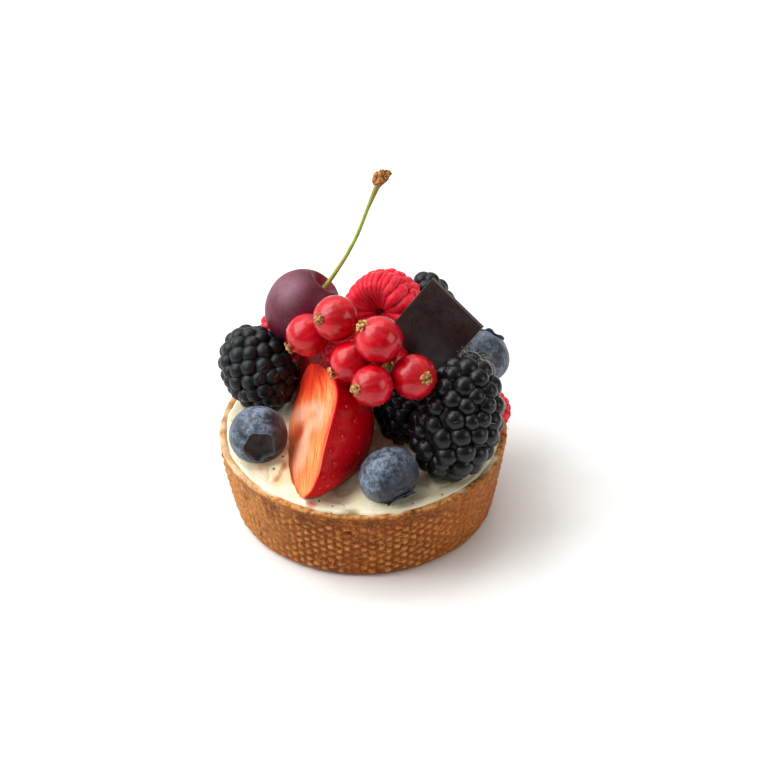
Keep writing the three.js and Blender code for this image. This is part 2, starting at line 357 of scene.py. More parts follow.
view = {"camera": (0, -464.97, 389.22), "aim": (5.93, 14.5, 27.7), "lens": 99.6, "sensor": 36,
        "nearest": 10, "farthest": 20000}
studio = {"floor": 6000, "floorTints": ("f0f0ef", "f3f3f2"), "lampAim": (0, 0, 40),
          "sky": (-0.5, 0.6, 0.62), "skyBand": (-0.2, 0.85, 0.12, 0.82),  # from its dark to its bright side
          "lamps": {"key": {"at": (-640, 110, 800), "size": 880, "power": 11.5, "gloss": 1},
                    "top": {"at": (-60, 420, 820), "size": 620, "power": 2.2, "gloss": 2.5},
                    "side": {"at": (-760, -360, 560), "size": 600, "power": 1.8, "gloss": 1},
                    "fill": {"at": (760, -300, 420), "size": 500, "power": 2.3, "gloss": 0,
                             "tint": (1, 0.94, 0.84)}}}


def facing(start, end):  # how a lamp or camera turns to look from the start to the end
    return (Vector(end) - Vector(start)).to_track_quat("-Z", "Y").to_euler()


def makeStage():
    scene = bpy.context.scene
    bpy.ops.object.camera_add(location=Vector(view["camera"]) * mm)
    scene.camera = bpy.context.object
    scene.camera.rotation_euler = facing(view["camera"], view["aim"])
    scene.camera.data.lens = view["lens"]
    scene.camera.data.sensor_width = view["sensor"]
    scene.camera.data.clip_start = view["nearest"] * mm
    scene.camera.data.clip_end = view["farthest"] * mm
    for name, settings in studio["lamps"].items():
        bpy.ops.object.light_add(type="AREA", location=Vector(settings["at"]) * mm)
        lamp = bpy.context.object
        lamp.name = name
        lamp.data.size = settings["size"] * mm
        lamp.data.energy = settings["power"]
        lamp.data.specular_factor = settings["gloss"]
        lamp.data.color = settings.get("tint", (1, 1, 1))
        lamp.rotation_euler = facing(settings["at"], studio["lampAim"])
    scene.world = bpy.data.worlds.new("surround")  # white overhead, dim behind the camera
    scene.world.use_nodes = True
    sky = current["tree"] = scene.world.node_tree
    way = addNode("TexCoord", {}).outputs["Generated"]
    height = vector("DOT_PRODUCT", {0: way, 1: studio["sky"]}, "Value")
    back = sky.nodes["Background"].inputs
    back["Color"].default_value = (1, 1, 1, 1)
    sky.links.new(between(height, *studio["skyBand"]), back["Strength"])
    scene.view_settings.view_transform = "Standard"
    floor = addPrimitive(bpy.ops.mesh.primitive_plane_add, "floor", size=studio["floor"] * mm)
    floor.data.materials.append(makeTwoTone(
        "floor", {"Roughness": 0.6, "Specular IOR Level": 0.2}, (60.0,), *studio["floorTints"]))
    print("stage ready")


makeStage()
pressedIn = []  # the fruit that leaves its print in the cream


# Berries made of drupelets

def onEgg(direction, size, inset=0.0):  # a point of the berry's outline, in millimetres
    swell = 1 + size.get("taper", 0) * direction[2]
    wide = (size["width"] / 2 - inset) * swell
    return Vector((direction[0] * wide, direction[1] * wide, direction[2] * (size["length"] / 2 - inset)))


def eggNormal(direction, size):
    wide, long = size["width"] / 2, size["length"] / 2
    return Vector((direction[0] / wide, direction[1] / wide, direction[2] / long)).normalized()


def fromTurn(degrees, height):  # a direction from its turn about the axis and its share of the height
    flat = math.sqrt(max(0.0, 1 - height * height))
    angle = math.radians(degrees)
    return np.array((flat * math.cos(angle), flat * math.sin(angle), height))


crowding = {"reach": 1.45, "rounds": 90, "step": 0.12}  # how neighbours push each other apart


def spreadDrupelets(size):  # the named ones stay where they are and the others find room between them
    count = size["count"]
    fixed = [fromTurn(*turn) for turn in size.get("shown", [])]
    free = [fromTurn(math.degrees(golden * i), 1 - 2 * (i + 0.5) / count) for i in range(count)]
    half = np.array((size["width"] / 2, size["width"] / 2, size["length"] / 2))
    for spot in fixed:  # each named one takes the place of its nearest neighbour
        free.pop(int(np.argmin([np.linalg.norm((other - spot) * half) for other in free])))
    spots = np.array(fixed + free)
    reach = size["spacing"] * crowding["reach"]
    for _ in range(crowding["rounds"]):
        places = spots * half
        apart = places[:, None] - places[None]
        gaps = np.linalg.norm(apart, axis=2) + 1e-6
        push = np.clip(reach - gaps, 0, None)
        np.fill_diagonal(push, 0)
        move = (apart / gaps[..., None] * push[..., None]).sum(axis=1) * crowding["step"]
        move[:len(fixed)] = 0
        spots = (places + move) / half
        spots /= np.linalg.norm(spots, axis=1)[:, None]
    return spots


def makeDrupelet(segments, rings):  # one plump drupelet of radius 1 with a tiny dimple on top
    drupelet = addBall("drupelet", segments, rings)
    pick(drupelet, "VERT", lambda vertex: vertex.co.z > 0.99)
    bpy.ops.transform.translate(value=(0, 0, -0.05))
    pick(drupelet, "VERT", lambda vertex: vertex.co.z < -0.2)
    scaleFlat(0.86)
    objectMode()
    addMask(drupelet, "crest", getPlaces(drupelet)[:, 2])
    return drupelet


def makeHair():  # one dry hair, 1 long, standing on the origin
    hair = addPrimitive(bpy.ops.mesh.primitive_cone_add, "hair", vertices=4, radius1=1, radius2=0.35,
                        depth=1, location=(0, 0, 0.5))
    for level in (0.25, 0.5, 0.75):
        pick(hair, "VERT")
        bpy.ops.mesh.bisect(plane_co=(0, 0, level), plane_no=(0, 0, 1))
    objectMode()
    return hair


def bendHair(hair, foot, way, length, radius, bend, spin):
    def rule(places):
        places = places * np.array((radius, radius, length))
        x, _, z = places.T
        x += bend * (z / length) ** 2 * length
        z *= 1 - 0.3 * abs(bend) * z / length
        return places
    made = copyPiece(hair)
    sculpt(made, rule)
    made.data.transform(placeAt(foot, way, spin))
    return made


def growHairs(hair, tops, draw, size):  # some of the drupelets keep theirs
    hairs = []
    for top, normal in tops:
        if draw.random() < size["share"]:
            lean = normal + jitter(draw, size["lean"])
            length = draw.uniform(*size["length"])
            thin, thick = size["radius"]
            radius = draw.uniform(thin, thick) if thick > thin else thin
            hairs.append(bendHair(hair, top, lean, length, radius, draw.uniform(0.3, 0.9), draw.uniform(0, 6.28)))
    return hairs


def settle(name, pieces, size, tops):  # joins a berry and puts it and the tops of its drupelets in place
    berry = joinPieces(name, pieces)
    turn = placeAt(size["at"], size["axis"])
    berry.data.transform(turn)
    return berry, [(turn @ top, turn.to_3x3() @ normal) for top, normal in tops]


def makeDrupeletBerry(name, size, drupelet, seed):
    draw = random.Random(seed)
    spots, spacing = spreadDrupelets(size), size["spacing"]
    core = addBall(name, 32, 20)
    sculpt(core, lambda places: np.array([onEgg(place, size, spacing * 0.42) for place in places]))
    half = np.array([onEgg(spot, size) for spot in spots])
    pieces, tops = [core], []
    for i, spot in enumerate(spots):
        if spot[2] > size.get("hollow", math.inf):
            continue
        gaps = np.sort(np.linalg.norm(half - half[i], axis=1))[1:6]
        radius = min(max(gaps.mean() / 2 * size["plump"], spacing * 0.36), spacing * 0.66)
        normal = eggNormal(spot, size)
        lift = draw.uniform(-0.25, 0.05)
        tall = radius * draw.uniform(0.92, 1.04)
        centre = Vector(half[i]) - normal * (tall - lift)
        wide = [radius * draw.uniform(0.95, 1.06) for _ in range(2)]
        matrix = placeAt(centre, normal + jitter(draw, 0.14), draw.uniform(0, 6.28))
        pieces.append(copyPiece(drupelet, matrix @ Matrix.Diagonal((wide[0], wide[1], tall, 1))))
        addMask(pieces[-1], "shade", draw.random())
        tops.append((Vector(half[i]) + normal * (lift - 0.12), normal))
    return settle(name, pieces, size, tops)


darkBerries = {
    "dark_berry_left": {
        "at": (-29.2, 10.8, 36.1), "axis": (0.48, -0.56, -0.68), "length": 26.4, "width": 21.4,
        "count": 84, "spacing": 4.6, "plump": 1.09, "dull": 0.85,
        "shown": [(165, -.95), (128, -.82), (112, -.59), (-149, -.75), (-175, -.5), (159, -.38), (132, -.27),
                  (105, -.24), (174, -.09), (149, .06), (118, .1), (-161, -.18), (-139, -.26), (-173, .22),
                  (143, .37), (102, .56), (-146, .07), (-122, .28), (-162, .5), (170, .57), (139, .69),
                  (-120, .57), (135, .94)]},
    "dark_berry_right": {
        "at": (25.4, -16.4, 39.6), "axis": (0.26, 0.31, 0.91), "length": 37.4, "width": 25.2, "taper": -0.08,
        "count": 84, "spacing": 5.5, "plump": 1.03, "dull": 0.15, "hollow": 0.975,
        "shown": [(-126, .92), (-73, .81), (-105, .65), (-119, .41), (-152, .73), (156, .8), (-45, .64),
                  (-77, .55), (-91, .38), (-53, .43), (-104, .13), (-135, -.07), (-141, .2), (-161, -.3),
                  (-115, -.23), (-88, -.1), (-78, .17), (-60, .22), (-61, -.03), (-32, -.06), (-143, -.55),
                  (-101, -.49), (-73, -.36), (-41, -.42), (-63, -.66), (-116, -.87)]},
    "dark_berry_centre": {
        "at": (11.6, -3.4, 30.8), "axis": (-0.13, -0.62, 0.77), "length": 22, "width": 18.6, "taper": -0.12,
        "count": 50, "spacing": 4.6, "plump": 1.05, "dull": 0.2},
    "dark_berry_back": {
        "at": (19.2, 28.4, 41.2), "axis": (-0.1, 0.02, 1), "length": 30, "width": 17, "taper": -0.1,
        "count": 70, "spacing": 4.7, "plump": 1.05, "dull": 0.7},
}
darkHairs = {"share": 0.42, "lean": 0.7, "length": (0.8, 2.3), "radius": (0.05, 0.08),
             "tints": ("a39a83", "4f4030"), "ring": 26, "ringRadius": 0.07}


def makeDarkMaterial(name, dull):  # dull runs from 0, shiny, to 1, with a grey bloom
    material = newMaterial(name, {"IOR": 1.4, "Specular IOR Level": 0.34, "Coat Weight": 0.1 - 0.08 * dull,
                                  "Coat Roughness": 0.12})
    skin = paint("07080a", (mottle(3.5, 0.35, 0.7), "0e1015"), (mottle(9.0, 0.52, 0.75, 3.1), "140d11"))
    paleLayer = times(mottle(1.6, 0.3, 0.75, 7.7, 5.0), 0.06 + 0.42 * dull)
    # painted shade: near black, and rougher, in the crevices between the drupelets and on the core that shows
    # between them
    creviceShade = between(readMask("crest"), -0.2, 0.45, 1.0, 0.0)
    wire("Base Color", paint(skin, (paleLayer, "2c3335"), (creviceShade, "030304")))
    rough = between(paleLayer, 0, 1, 0.24 + 0.14 * dull, 0.6)
    wire("Roughness", compute("MAXIMUM", rough, times(creviceShade, 0.8)))
    bumpUp(noiseHeight(0.35), 0.05)
    return material


def makeDarkBerries():
    draw = random.Random(11)
    drupelet, hair, hairs = makeDrupelet(18, 12), makeHair(), []
    for seed, (name, size) in enumerate(darkBerries.items()):
        berry, tops = makeDrupeletBerry(name, size, drupelet, seed + 5)
        finish(berry, makeDarkMaterial(name, size["dull"]), "dark_berry", name)
        hairs += growHairs(hair, tops, draw, darkHairs)
    size = darkBerries["dark_berry_right"]  # a ring of pale hairs round the hole that its stalk left
    turn = placeAt(size["at"], size["axis"])
    for i in range(darkHairs["ring"]):
        spot = fromTurn(i * 360 / darkHairs["ring"] + draw.uniform(-6, 6), draw.uniform(0.955, 0.985))
        way = Vector((spot[0], spot[1], 0)).normalized() + Vector((0, 0, draw.uniform(0.1, 0.9)))
        hairs.append(bendHair(hair, turn @ onEgg(spot, size, 0.5), turn.to_3x3() @ way, draw.uniform(1.8, 3.2),
                              darkHairs["ringRadius"], draw.uniform(0.2, 0.8), draw.uniform(0, 6.28)))
    removePieces(hair, drupelet)
    finish(joinPieces("dark_berry_hairs", hairs), makeHairFinish("berry_hair", *darkHairs["tints"]), "stem")
    print("dark berries ready")


makeDarkBerries()


# Raspberries

raspberries = {
    "raspberry_top": {
        "at": (6.6, 17.4, 52.6), "axis": (-0.31, -0.92, 0.2), "length": 21, "width": 21.4, "pitch": 3,
        "mouth": [(10.5, 0.5), (10.4, 4.8), (9.4, 7.6), (7.2, 7.7), (4.2, 6.3), (0.6, 5.2)],
        "folds": [(-64, 1.9, 0.9), (-38, 2.0, 0.9), (-12, 2.1, 0.86), (14, 2.2, 0.84), (37, 2.4, 0.82),
                  (54, 1.5, 0.94), (64, 0.95, 1), (72.5, 0.9, 0.99), (81, 0.9, 1.01), (89.5, 0.9, 1),
                  (98, 0.9, 0.99), (107, 0.95, 1), (117, 1.1, 0.97), (130, 1.4, 0.94), (147, 1.8, 0.9),
                  (168, 1.9, 0.85), (190, 2.2, 0.86), (214, 2.1, 0.9), (238, 2.0, 0.9),
                  (266, 2.0, 0.9)]},  # turn, half width and reach of each
    "raspberry_left": {
        "at": (-22.3, 28, 34.6), "axis": (0.1, -0.5, 0.8), "length": 17, "width": 15.4, "pitch": 2.7,
        "pleats": 16, "mouth": [(6.9, 3.6), (6.5, 5.7), (5.5, 7.4), (4.2, 7.5), (3.2, 5.6), (2.6, 2.6)]},
    "raspberry_right": {
        "at": (32.4, 0.6, 29.9), "axis": (-0.93, 0.3, 0.1), "length": 17.6, "width": 13.6, "pitch": 2.6,
        "pleats": 15, "mouth": [(6.1, 3.9), (5.7, 6.1), (4.8, 7.8), (3.7, 8.0), (2.8, 6.0), (2.3, 3.0)]},
    "raspberry_back": {
        "at": (-7.9, 29.2, 31.4), "axis": (0.1, -0.6, 0.6), "length": 14.2, "width": 13.8, "pitch": 2.6,
        "pleats": 15, "mouth": [(6.3, 2.8), (5.9, 4.7), (5.0, 6.2), (3.8, 6.3), (2.8, 4.6), (2.3, 2.2)]},
    "raspberry_middle": {
        "at": (-4.2, 5.7, 46), "axis": (0.2, 0.7, 0.3), "length": 15, "width": 14.6, "pitch": 2.7,
        "pleats": 15, "mouth": [(6.6, 3.1), (6.2, 5.0), (5.3, 6.5), (4.1, 6.6), (3.0, 4.8), (2.4, 2.4)]},
}
raspberryHairs = {"share": 0.5, "lean": 0.6, "length": (0.9, 2.0), "radius": (0.045, 0.045),
                  "tints": ("e0a98a", "a8563e")}
pleatRoute = {"wobble": 0.18, "points": 41, "rounding": 14}


def bendPleat(drupelet, mouth, turn, wide, reach, draw):  # one long drupelet, folded over the edge and in
    wobble = pleatRoute["wobble"]
    knots = np.array(mouth) + np.array([[draw.uniform(-wobble, wobble) for _ in range(2)] for _ in mouth])
    knots[:3, 0] *= reach
    fine = np.linspace(0, 1, pleatRoute["points"])
    path = np.stack([np.interp(fine, np.linspace(0, 1, len(knots)), knot) for knot in knots.T], 1)
    for _ in range(pleatRoute["rounding"]):  # takes the corners off the route
        path[1:-1] = (path[:-2] + 2 * path[1:-1] + path[2:]) / 4
    way = np.gradient(path, axis=0)
    way /= np.linalg.norm(way, axis=1)[:, None]
    pleat = copyPiece(drupelet)
    x, y, z = getPlaces(pleat).T
    share = np.arccos(np.clip(-x, -1, 1)) / math.pi
    out, tall, outward, upward = (np.interp(share, fine, line) for line in (*path.T, *way.T))
    broad = wide * out ** 0.75 / knots[0, 0] ** 0.75
    broad = broad * (1 + 0.14 * ripple(asPlaces(share * 9, turn * 5, 0), 1.0, 5))
    pinch = np.sqrt(np.clip(1 - (2 * share - 1) ** 4, 0, 1))
    thick = np.hypot(y, z) + 1e-9
    aside, above = y / thick * broad * pinch, z / thick * broad * pinch * 0.95
    out = out + upward * above
    sculpt(pleat, lambda _: asPlaces(out * math.cos(turn) - aside * math.sin(turn),
                                     out * math.sin(turn) + aside * math.cos(turn), tall - outward * above))
    return pleat


def makeRaspberry(name, size, drupelet, pleat, seed):
    draw = random.Random(seed)
    wide, long, pitch, mouth = size["width"] / 2, size["length"] / 2, size["pitch"], size["mouth"]
    core = addBall(name, 48, 36)
    radii = [0, mouth[-1][0] * 0.7] + [knot[0] for knot in mouth[:1:-1]]
    levels = [knot[1] - 0.9 for knot in mouth[:1:-1]]

    def hollow(places):  # the core sinks in the middle, where its stalk was
        places = np.array([onEgg(place, size, pitch * 0.55) for place in places])
        x, y, z = places.T
        bowl = np.interp(np.hypot(x, y), radii, [levels[0] - 1.6, levels[0] - 1.2] + levels)
        return asPlaces(x, y, np.minimum(z, bowl))
    sculpt(core, hollow)
    addMask(core, "shade", 0.2)
    # the core counts as lying deep between the drupelets, so it takes the painted shade
    addMask(core, "crest", -0.6)
    pieces, tops = [core], []
    count, rim = size.get("pleats", 1), mouth[0][0]
    even = [(360 * i / count, math.pi * rim / count * 1.04, 1) for i in range(count)]
    for turn, half, reach in size.get("folds", even):
        turn = math.radians(turn + draw.uniform(-0.1, 0.1) * math.degrees(half / rim))
        pieces.append(bendPleat(pleat, mouth, turn, half * draw.uniform(0.94, 1.06), reach, draw))
        addMask(pieces[-1], "shade", draw.random())
    last = math.acos(max(-1.0, -(mouth[0][1] + pitch * 0.22) / long))  # rows end under the pleats
    steps = np.linspace(0, last, 200)
    run = np.concatenate([[0], np.cumsum(np.hypot(wide * np.cos(steps), long * np.sin(steps))[1:] * steps[1])])
    for row, angle in enumerate(np.interp(np.linspace(0, run[-1], round(run[-1] / pitch) + 1), run, steps)):
        around = wide * math.sin(angle)
        count = max(1, round(fullTurn * around / pitch))
        for i in range(count):
            turn = fullTurn * (i + 0.5 * (row % 2)) / count + draw.uniform(-0.1, 0.1) / max(1, around / 3)
            flat = math.sin(angle)
            spot = np.array((flat * math.cos(turn), flat * math.sin(turn), -math.cos(angle)))
            normal = eggNormal(spot, size)
            side = Vector((-math.sin(turn), math.cos(turn), 0))
            half = pitch * draw.uniform(0.52, 0.6)
            tall = half * draw.uniform(1.05, 1.25)
            centre = onEgg(spot, size) - normal * (tall + draw.uniform(-0.05, 0.3))
            ahead = normal.cross(side) * half * draw.uniform(1.02, 1.25)
            pieces.append(copyPiece(drupelet, placeBy(centre, side * half, ahead, normal * tall)))
            addMask(pieces[-1], "shade", draw.random())
            tops.append((centre + normal * tall * 0.97, normal))
    return settle(name, pieces, size, tops)


def makeRaspberryMaterial():
    material = newMaterial("raspberry", {
        **lightInside(0.5, 1.8, (1.0, 0.18, 0.14)), "Sheen Weight": 0.06, "Sheen Roughness": 0.4,
        "IOR": 1.35, "Specular IOR Level": 0.35})
    crest = readMask("crest")
    # partly the down and partly a painted highlight: pale pink on the tops of the drupelets
    downAndSheen = times(times(between(crest, 0.3, 1.0), mottle(1.4, 0.3, 0.7, 5.0)), 0.2)
    # painted shade: darker red low on each drupelet, between them and on the core
    wire("Base Color", paint(
        "e00828", (readMask("shade"), "f01c3a"), (mottle(2.2, 0.35, 0.7), "ca0622"),
        (between(crest, -0.3, 0.4, 0.7, 0.0), "b40418"), (downAndSheen, "e6707e")))
    roughen(0.9, 0.36, 0.55)
    bumpUp(noiseHeight(0.3), 0.06)
    return material


def makeRaspberries():
    draw = random.Random(23)
    drupelet, pleat, hair, hairs = makeDrupelet(14, 10), makeDrupelet(26, 16), makeHair(), []
    material = makeRaspberryMaterial()
    for seed, (name, size) in enumerate(raspberries.items()):
        berry, tops = makeRaspberry(name, size, drupelet, pleat, seed + 40)
        finish(berry, material, "raspberry", name)
        hairs += growHairs(hair, tops, draw, raspberryHairs)
    removePieces(hair, drupelet, pleat)
    downAndSheen = makeHairFinish("raspberry_hair", *raspberryHairs["tints"])
    finish(joinPieces("raspberry_hairs", hairs), downAndSheen, "stem")
    print("raspberries ready")


makeRaspberries()


# Blueberries

blueberries = {
    "blueberry_left": {"at": (-28.7, -10, 29.1), "axis": (0.09, -0.973, 0.2), "width": 16.2, "height": 14.6,
                       "bare": (0.9, -0.3, -0.2), "open": 1.08, "points": 0.75},
    "blueberry_front": {"at": (6.7, -27.9, 29.3), "axis": (0.477, -0.645, -0.601), "width": 16.6, "height": 14.8,
                        "bare": (0.75, -0.75, -0.3)},
    "blueberry_right": {"at": (33.7, 20, 32.9), "axis": (0.43, 0.77, 0.47), "width": 16.2, "height": 14.4,
                        "bare": (0.0, -0.42, 0.3)},
    "blueberry_back": {"at": (5.9, 31.8, 28.6), "axis": (0.1, 0.8, 0.5), "width": 13.4, "height": 12.4},
}
crown = {"radius": 3.4, "around": 60, "edgeSteps": 3,  # up over the crown's edge and down to the dish
         "steps": [(3.75, 0.2), (4.15, 0.5), (4.1, 0.68), (3.7, 0.35), (3.3, -0.15), (1.9, -0.4), (0.6, -0.4),
                   (0.4, 0.0)]}


def makeBlueberry(name, place, seed):
    wide, tall = place["width"] / 2, place["height"] / 2
    berry = addBall(name, crown["around"], 40)
    sculpt(berry, lambda places: places * np.array((wide, wide, tall)))
    spread = place.get("open", 1)
    top = tall * math.sqrt(1 - (crown["radius"] * spread / wide) ** 2)
    pick(berry, "FACE", lambda face: face.calc_center_median().z > top)
    bpy.ops.mesh.delete(type="FACE")
    pick(berry, "EDGE", lambda edge: edge.is_boundary)
    first = next(vertex.co for vertex in bmesh.from_edit_mesh(berry.data).verts if vertex.select)
    radius, height = math.hypot(first.x, first.y), first.z
    for newRadius, rise in crown["steps"]:
        newRadius *= spread
        extrude(top + rise - height)
        scaleFlat(newRadius / radius)
        radius, height = newRadius, top + rise
    bpy.ops.mesh.edge_face_add()

    def points(places):  # five blunt points, and the small scar at the foot
        x, y, z = places.T
        out, turn = np.hypot(x, y), np.arctan2(y, x)
        wobble = ripple(places, 2.2, seed)
        star = np.cos(5 * turn + 0.4 * np.sin(2 * turn + seed) + seed)
        star = np.sign(star) * np.abs(star) ** 0.8 * place.get("points", 1) + 0.4 * wobble
        raised = ease(z, top - 0.15, top + 0.7) * (out > 3.1)
        places[:, :2] *= (1 + raised * (0.13 * star - 0.04))[:, None]
        z += raised * (0.22 * star + 0.05 + 0.15 * wobble)
        inner = ease(out, 1.7, 3.3) * (z > top - 1.2) * (1 - raised)
        places[:, :2] *= (1 + inner * (0.13 * star - 0.05))[:, None]
        z -= np.where(z < 0, -0.7 * np.exp(-(out / 1.1) ** 2), 0)
        return places + (places / wide) * (0.12 * ripple(places, 7.0, seed + 3))[:, None]
    sculpt(berry, points)
    count = len(berry.data.vertices)  # each step has added one ring of them
    step = (np.arange(count) - count) // crown["around"] + len(crown["steps"])
    addMask(berry, "dish", step >= crown["edgeSteps"])
    addMask(berry, "crown", (step >= 0) & (step < crown["edgeSteps"]))
    useModifier(berry, "SUBSURF", levels=1, render_levels=1)
    berry.data.transform(placeAt(place["at"], place["axis"]))
    # the side where the bloom thins, partly rubbed off and partly painted shade on the side turned from the light
    ways = (getPlaces(berry) - np.array(place["at"])) / wide
    addMask(berry, "bare", ease(ways @ np.array(place.get("bare", (0.5, 0.3, -0.8))), 0.1, 0.9))
    return berry


def makeBlueberryMaterial():
    material = newMaterial("blueberry", {"IOR": 1.36, "Sheen Weight": 0.08, "Sheen Roughness": 0.5})
    paleLayer = times(mottle(5.5, 0.3, 0.64, 6.4, 4.0), mottle(1.2, 0.26, 0.68, 1.7, 6.0))
    pits = times(mottle(0.5, 0.54, 0.68, 9.0, 3.0), 0.3)
    paleLayer = compute("SUBTRACT", compute("ADD", times(paleLayer, 1.25), 0.05), pits)
    # painted shade: the bloom thins on that side so it reads darker, partly as rubbed-off bloom
    rubbedAndShaded = times(readMask("bare"), mottle(5.0, 0.1, 0.5, 2.0))
    paleLayer = times(paleLayer, compute("SUBTRACT", 1.0, times(rubbedAndShaded, 0.95)))
    wire("Base Color", paint(
        "12141f", (mottle(4.0, 0.35, 0.65), "1c1924"), (paleLayer, "76889b"),
        (times(readMask("crown"), 0.75), "566274"), (readMask("dish"), "1d1a1d")))
    wire("Roughness", between(paleLayer, 0, 1, 0.34, 0.7))
    bumpUp(noiseHeight(0.7), 0.16)
    return material


def makeBlueberries():
    material = makeBlueberryMaterial()
    for seed, (name, place) in enumerate(blueberries.items()):
        finish(makeBlueberry(name, place, seed + 2), material, "blueberry", name)
    print("blueberries ready")


makeBlueberries()


# Redcurrants on their strig

currants = {
    "redcurrant_1": {"at": (-7.1, -2.3, 62.4), "axis": (-0.69, -0.6, 0.41), "width": 12.4},
    "redcurrant_2": {"at": (-14.9, 2.2, 53.8), "axis": (-0.77, -0.56, -0.31), "width": 11.8},
    "redcurrant_3": {"at": (4.3, -12.6, 62.6), "axis": (-0.69, -0.02, 0.72), "width": 12.8},
    "redcurrant_4": {"at": (-3.3, -10.3, 53.9), "axis": (-0.83, -0.42, -0.36), "width": 11.1},
    "redcurrant_5": {"at": (2.4, -21.1, 53.9), "axis": (-0.72, -0.62, 0.32), "width": 11.2},
    "redcurrant_6": {"at": (13.5, -16.7, 53.5), "axis": (0.5, -0.74, 0.46), "width": 12.2},
    "redcurrant_7": {"at": (7.3, -1.0, 46.9), "axis": (-0.12, -0.9, 0.42), "width": 11.1},
}
strig = {"route": [(-3.0, 5.0, 53.5), (0.4, 1.5, 54.6), (3.0, -2.5, 55.4), (5.2, -6.8, 55.6), (6.8, -11.0, 54.6),
                   (7.2, -14.8, 53.0)],
         "radius": 0.55, "thinning": (1.5, 1.1, 1, 0.95, 0.85, 0.6), "stalkRadius": 0.32, "veins": 14}
tuft = {"size": 2.15,  # each ring has a count, a length, a lean and a distance from the middle
        "rings": [(6, 0.8, 0.9, 0.24), (6, 0.85, 0.25, 0.18), (5, 0.8, -0.3, 0.1)]}


def makeCurrant(name, place, seed):
    berry = addBall(name, 56, 36)

    def rule(places):
        x, y, _ = places.T
        out = np.hypot(x, y)
        rib = 0.004 * np.cos(strig["veins"] * np.arctan2(y, x)) * ease(out, 0.15, 0.7)
        places = places * (1 + rib + 0.012 * ripple(places, 0.9, seed))[:, None]
        places[:, 2] += 0.05 * np.exp(-(out / 0.16) ** 2) * np.sign(places[:, 2])
        return places * (place["width"] / 2)
    sculpt(berry, rule)
    return berry


def makePetal():  # one dry curled petal of the flower's remains, 1 long
    petal = addPrimitive(bpy.ops.mesh.primitive_plane_add, "petal", size=1)
    pick(petal, "FACE")
    bpy.ops.mesh.subdivide(number_cuts=3)

    def rule(places):
        x, y, _ = places.T
        share = y + 0.5
        x *= 0.95 * (0.6 + 1.1 * share - 1.35 * share ** 2)
        return asPlaces(x, 0.5 * share ** 1.5 + 0.5 * np.abs(x), share - 0.45 * share ** 2)
    sculpt(petal, rule)
    useModifier(petal, "SOLIDIFY", thickness=0.1, offset=0)
    return petal


def makeTuft(petal, size, draw):
    parts = []
    for ring, (count, long, lean, out) in enumerate(tuft["rings"]):
        for i in range(count):
            scale = size * long * draw.uniform(0.7, 1.15)
            spin = fullTurn * (i + 0.5 * ring + draw.uniform(-0.4, 0.4)) / count
            tilt = Matrix.Rotation(-lean - draw.uniform(-0.5, 0.5), 4, "X")
            twist = Matrix.Rotation(draw.uniform(-1.2, 1.2), 4, "Z")
            foot = Matrix.Rotation(spin, 4, "Z") @ Matrix.Translation((0, size * out, 0))
            parts.append(copyPiece(petal, foot @ tilt @ twist @ Matrix.Scale(scale, 4)))
    made = joinPieces("tuft", parts)
    shift = draw.uniform(0, 40)
    sculpt(made, lambda places: places + 0.3 * size * np.stack(
        [ripple(places, 0.75, shift + k) for k in (1, 2, 3)], 1))
    return made


def makeCurrantMaterial():
    material = newMaterial("redcurrant", {
        **lightInside(0.45, 3.5, (1.0, 0.1, 0.08)), "Roughness": 0.2, "IOR": 1.45, "Specular IOR Level": 0.45})
    around = addNode("SeparateXYZ", {0: addNode("UVMap", {}).outputs[0]}).outputs
    beat = compute("SINE", times(around["X"], fullTurn * strig["veins"]))
    vein = between(compute("ADD", beat, times(mottle(2.0, 0.3, 0.7), 0.9)), 0.85, 1.35)
    poles = between(around["Y"], 0.55, 0.97)
    # painted shade: darker red towards the outline as seen from the camera
    rim = addNode("LayerWeight", {"Blend": 0.4}).outputs["Facing"]
    wire("Base Color", paint(
        "a80014", (mottle(4.5, 0.35, 0.65), "cc041c"), (times(vein, 0.05), "ee6a78"),
        (times(poles, 0.15), "d04440"), (between(rim, 0.3, 0.95, 0.0, 0.65), "70000e")))
    return material


def makeCurrants():
    draw = random.Random(31)
    material = makeCurrantMaterial()
    petal = makePetal()
    route = [Vector(point) for point in strig["route"]]
    thin, tufts = strig["stalkRadius"], []
    stalks = [tube("strig", route, [strig["radius"] * share for share in strig["thinning"]])]
    for seed, (name, place) in enumerate(currants.items()):
        radius = place["width"] / 2
        berry = makeCurrant(name, place, seed)
        turn = placeAt(place["at"], place["axis"], draw.uniform(0, 6.28))
        berry.data.transform(turn)
        finish(berry, material, "redcurrant", name)
        tufts.append(makeTuft(petal, tuft["size"], draw))
        tufts[-1].data.transform(turn @ Matrix.Translation((0, 0, radius * 0.99)))
        axis = Vector(place["axis"]).normalized()
        back = Vector(place["at"]) - axis * (radius - 0.25)
        joint = min(route, key=lambda point: (point - (back - axis * 3)).length)
        middle = back.lerp(joint, 0.45) - axis * 1.1
        stalks.append(tube("stalk", [back, middle, joint], [thin * 1.5, thin, thin * 1.3]))
    removePieces(petal)
    finish(joinPieces("currant_tufts", tufts), makeDry("dry_flower", "dcab6a", "94622e"), "stem_knob")
    green = makeTwoTone("strig", {"Roughness": 0.42, **lightInside(0.15, 0.6)}, (6.0, 0.42, 0.68),
                        "857f3c", "8f6430", (0.4, 0.06))
    finish(joinPieces("currant_strig", stalks), green, "stem")
    print("redcurrants ready")


makeCurrants()


# Cherry with its stalk

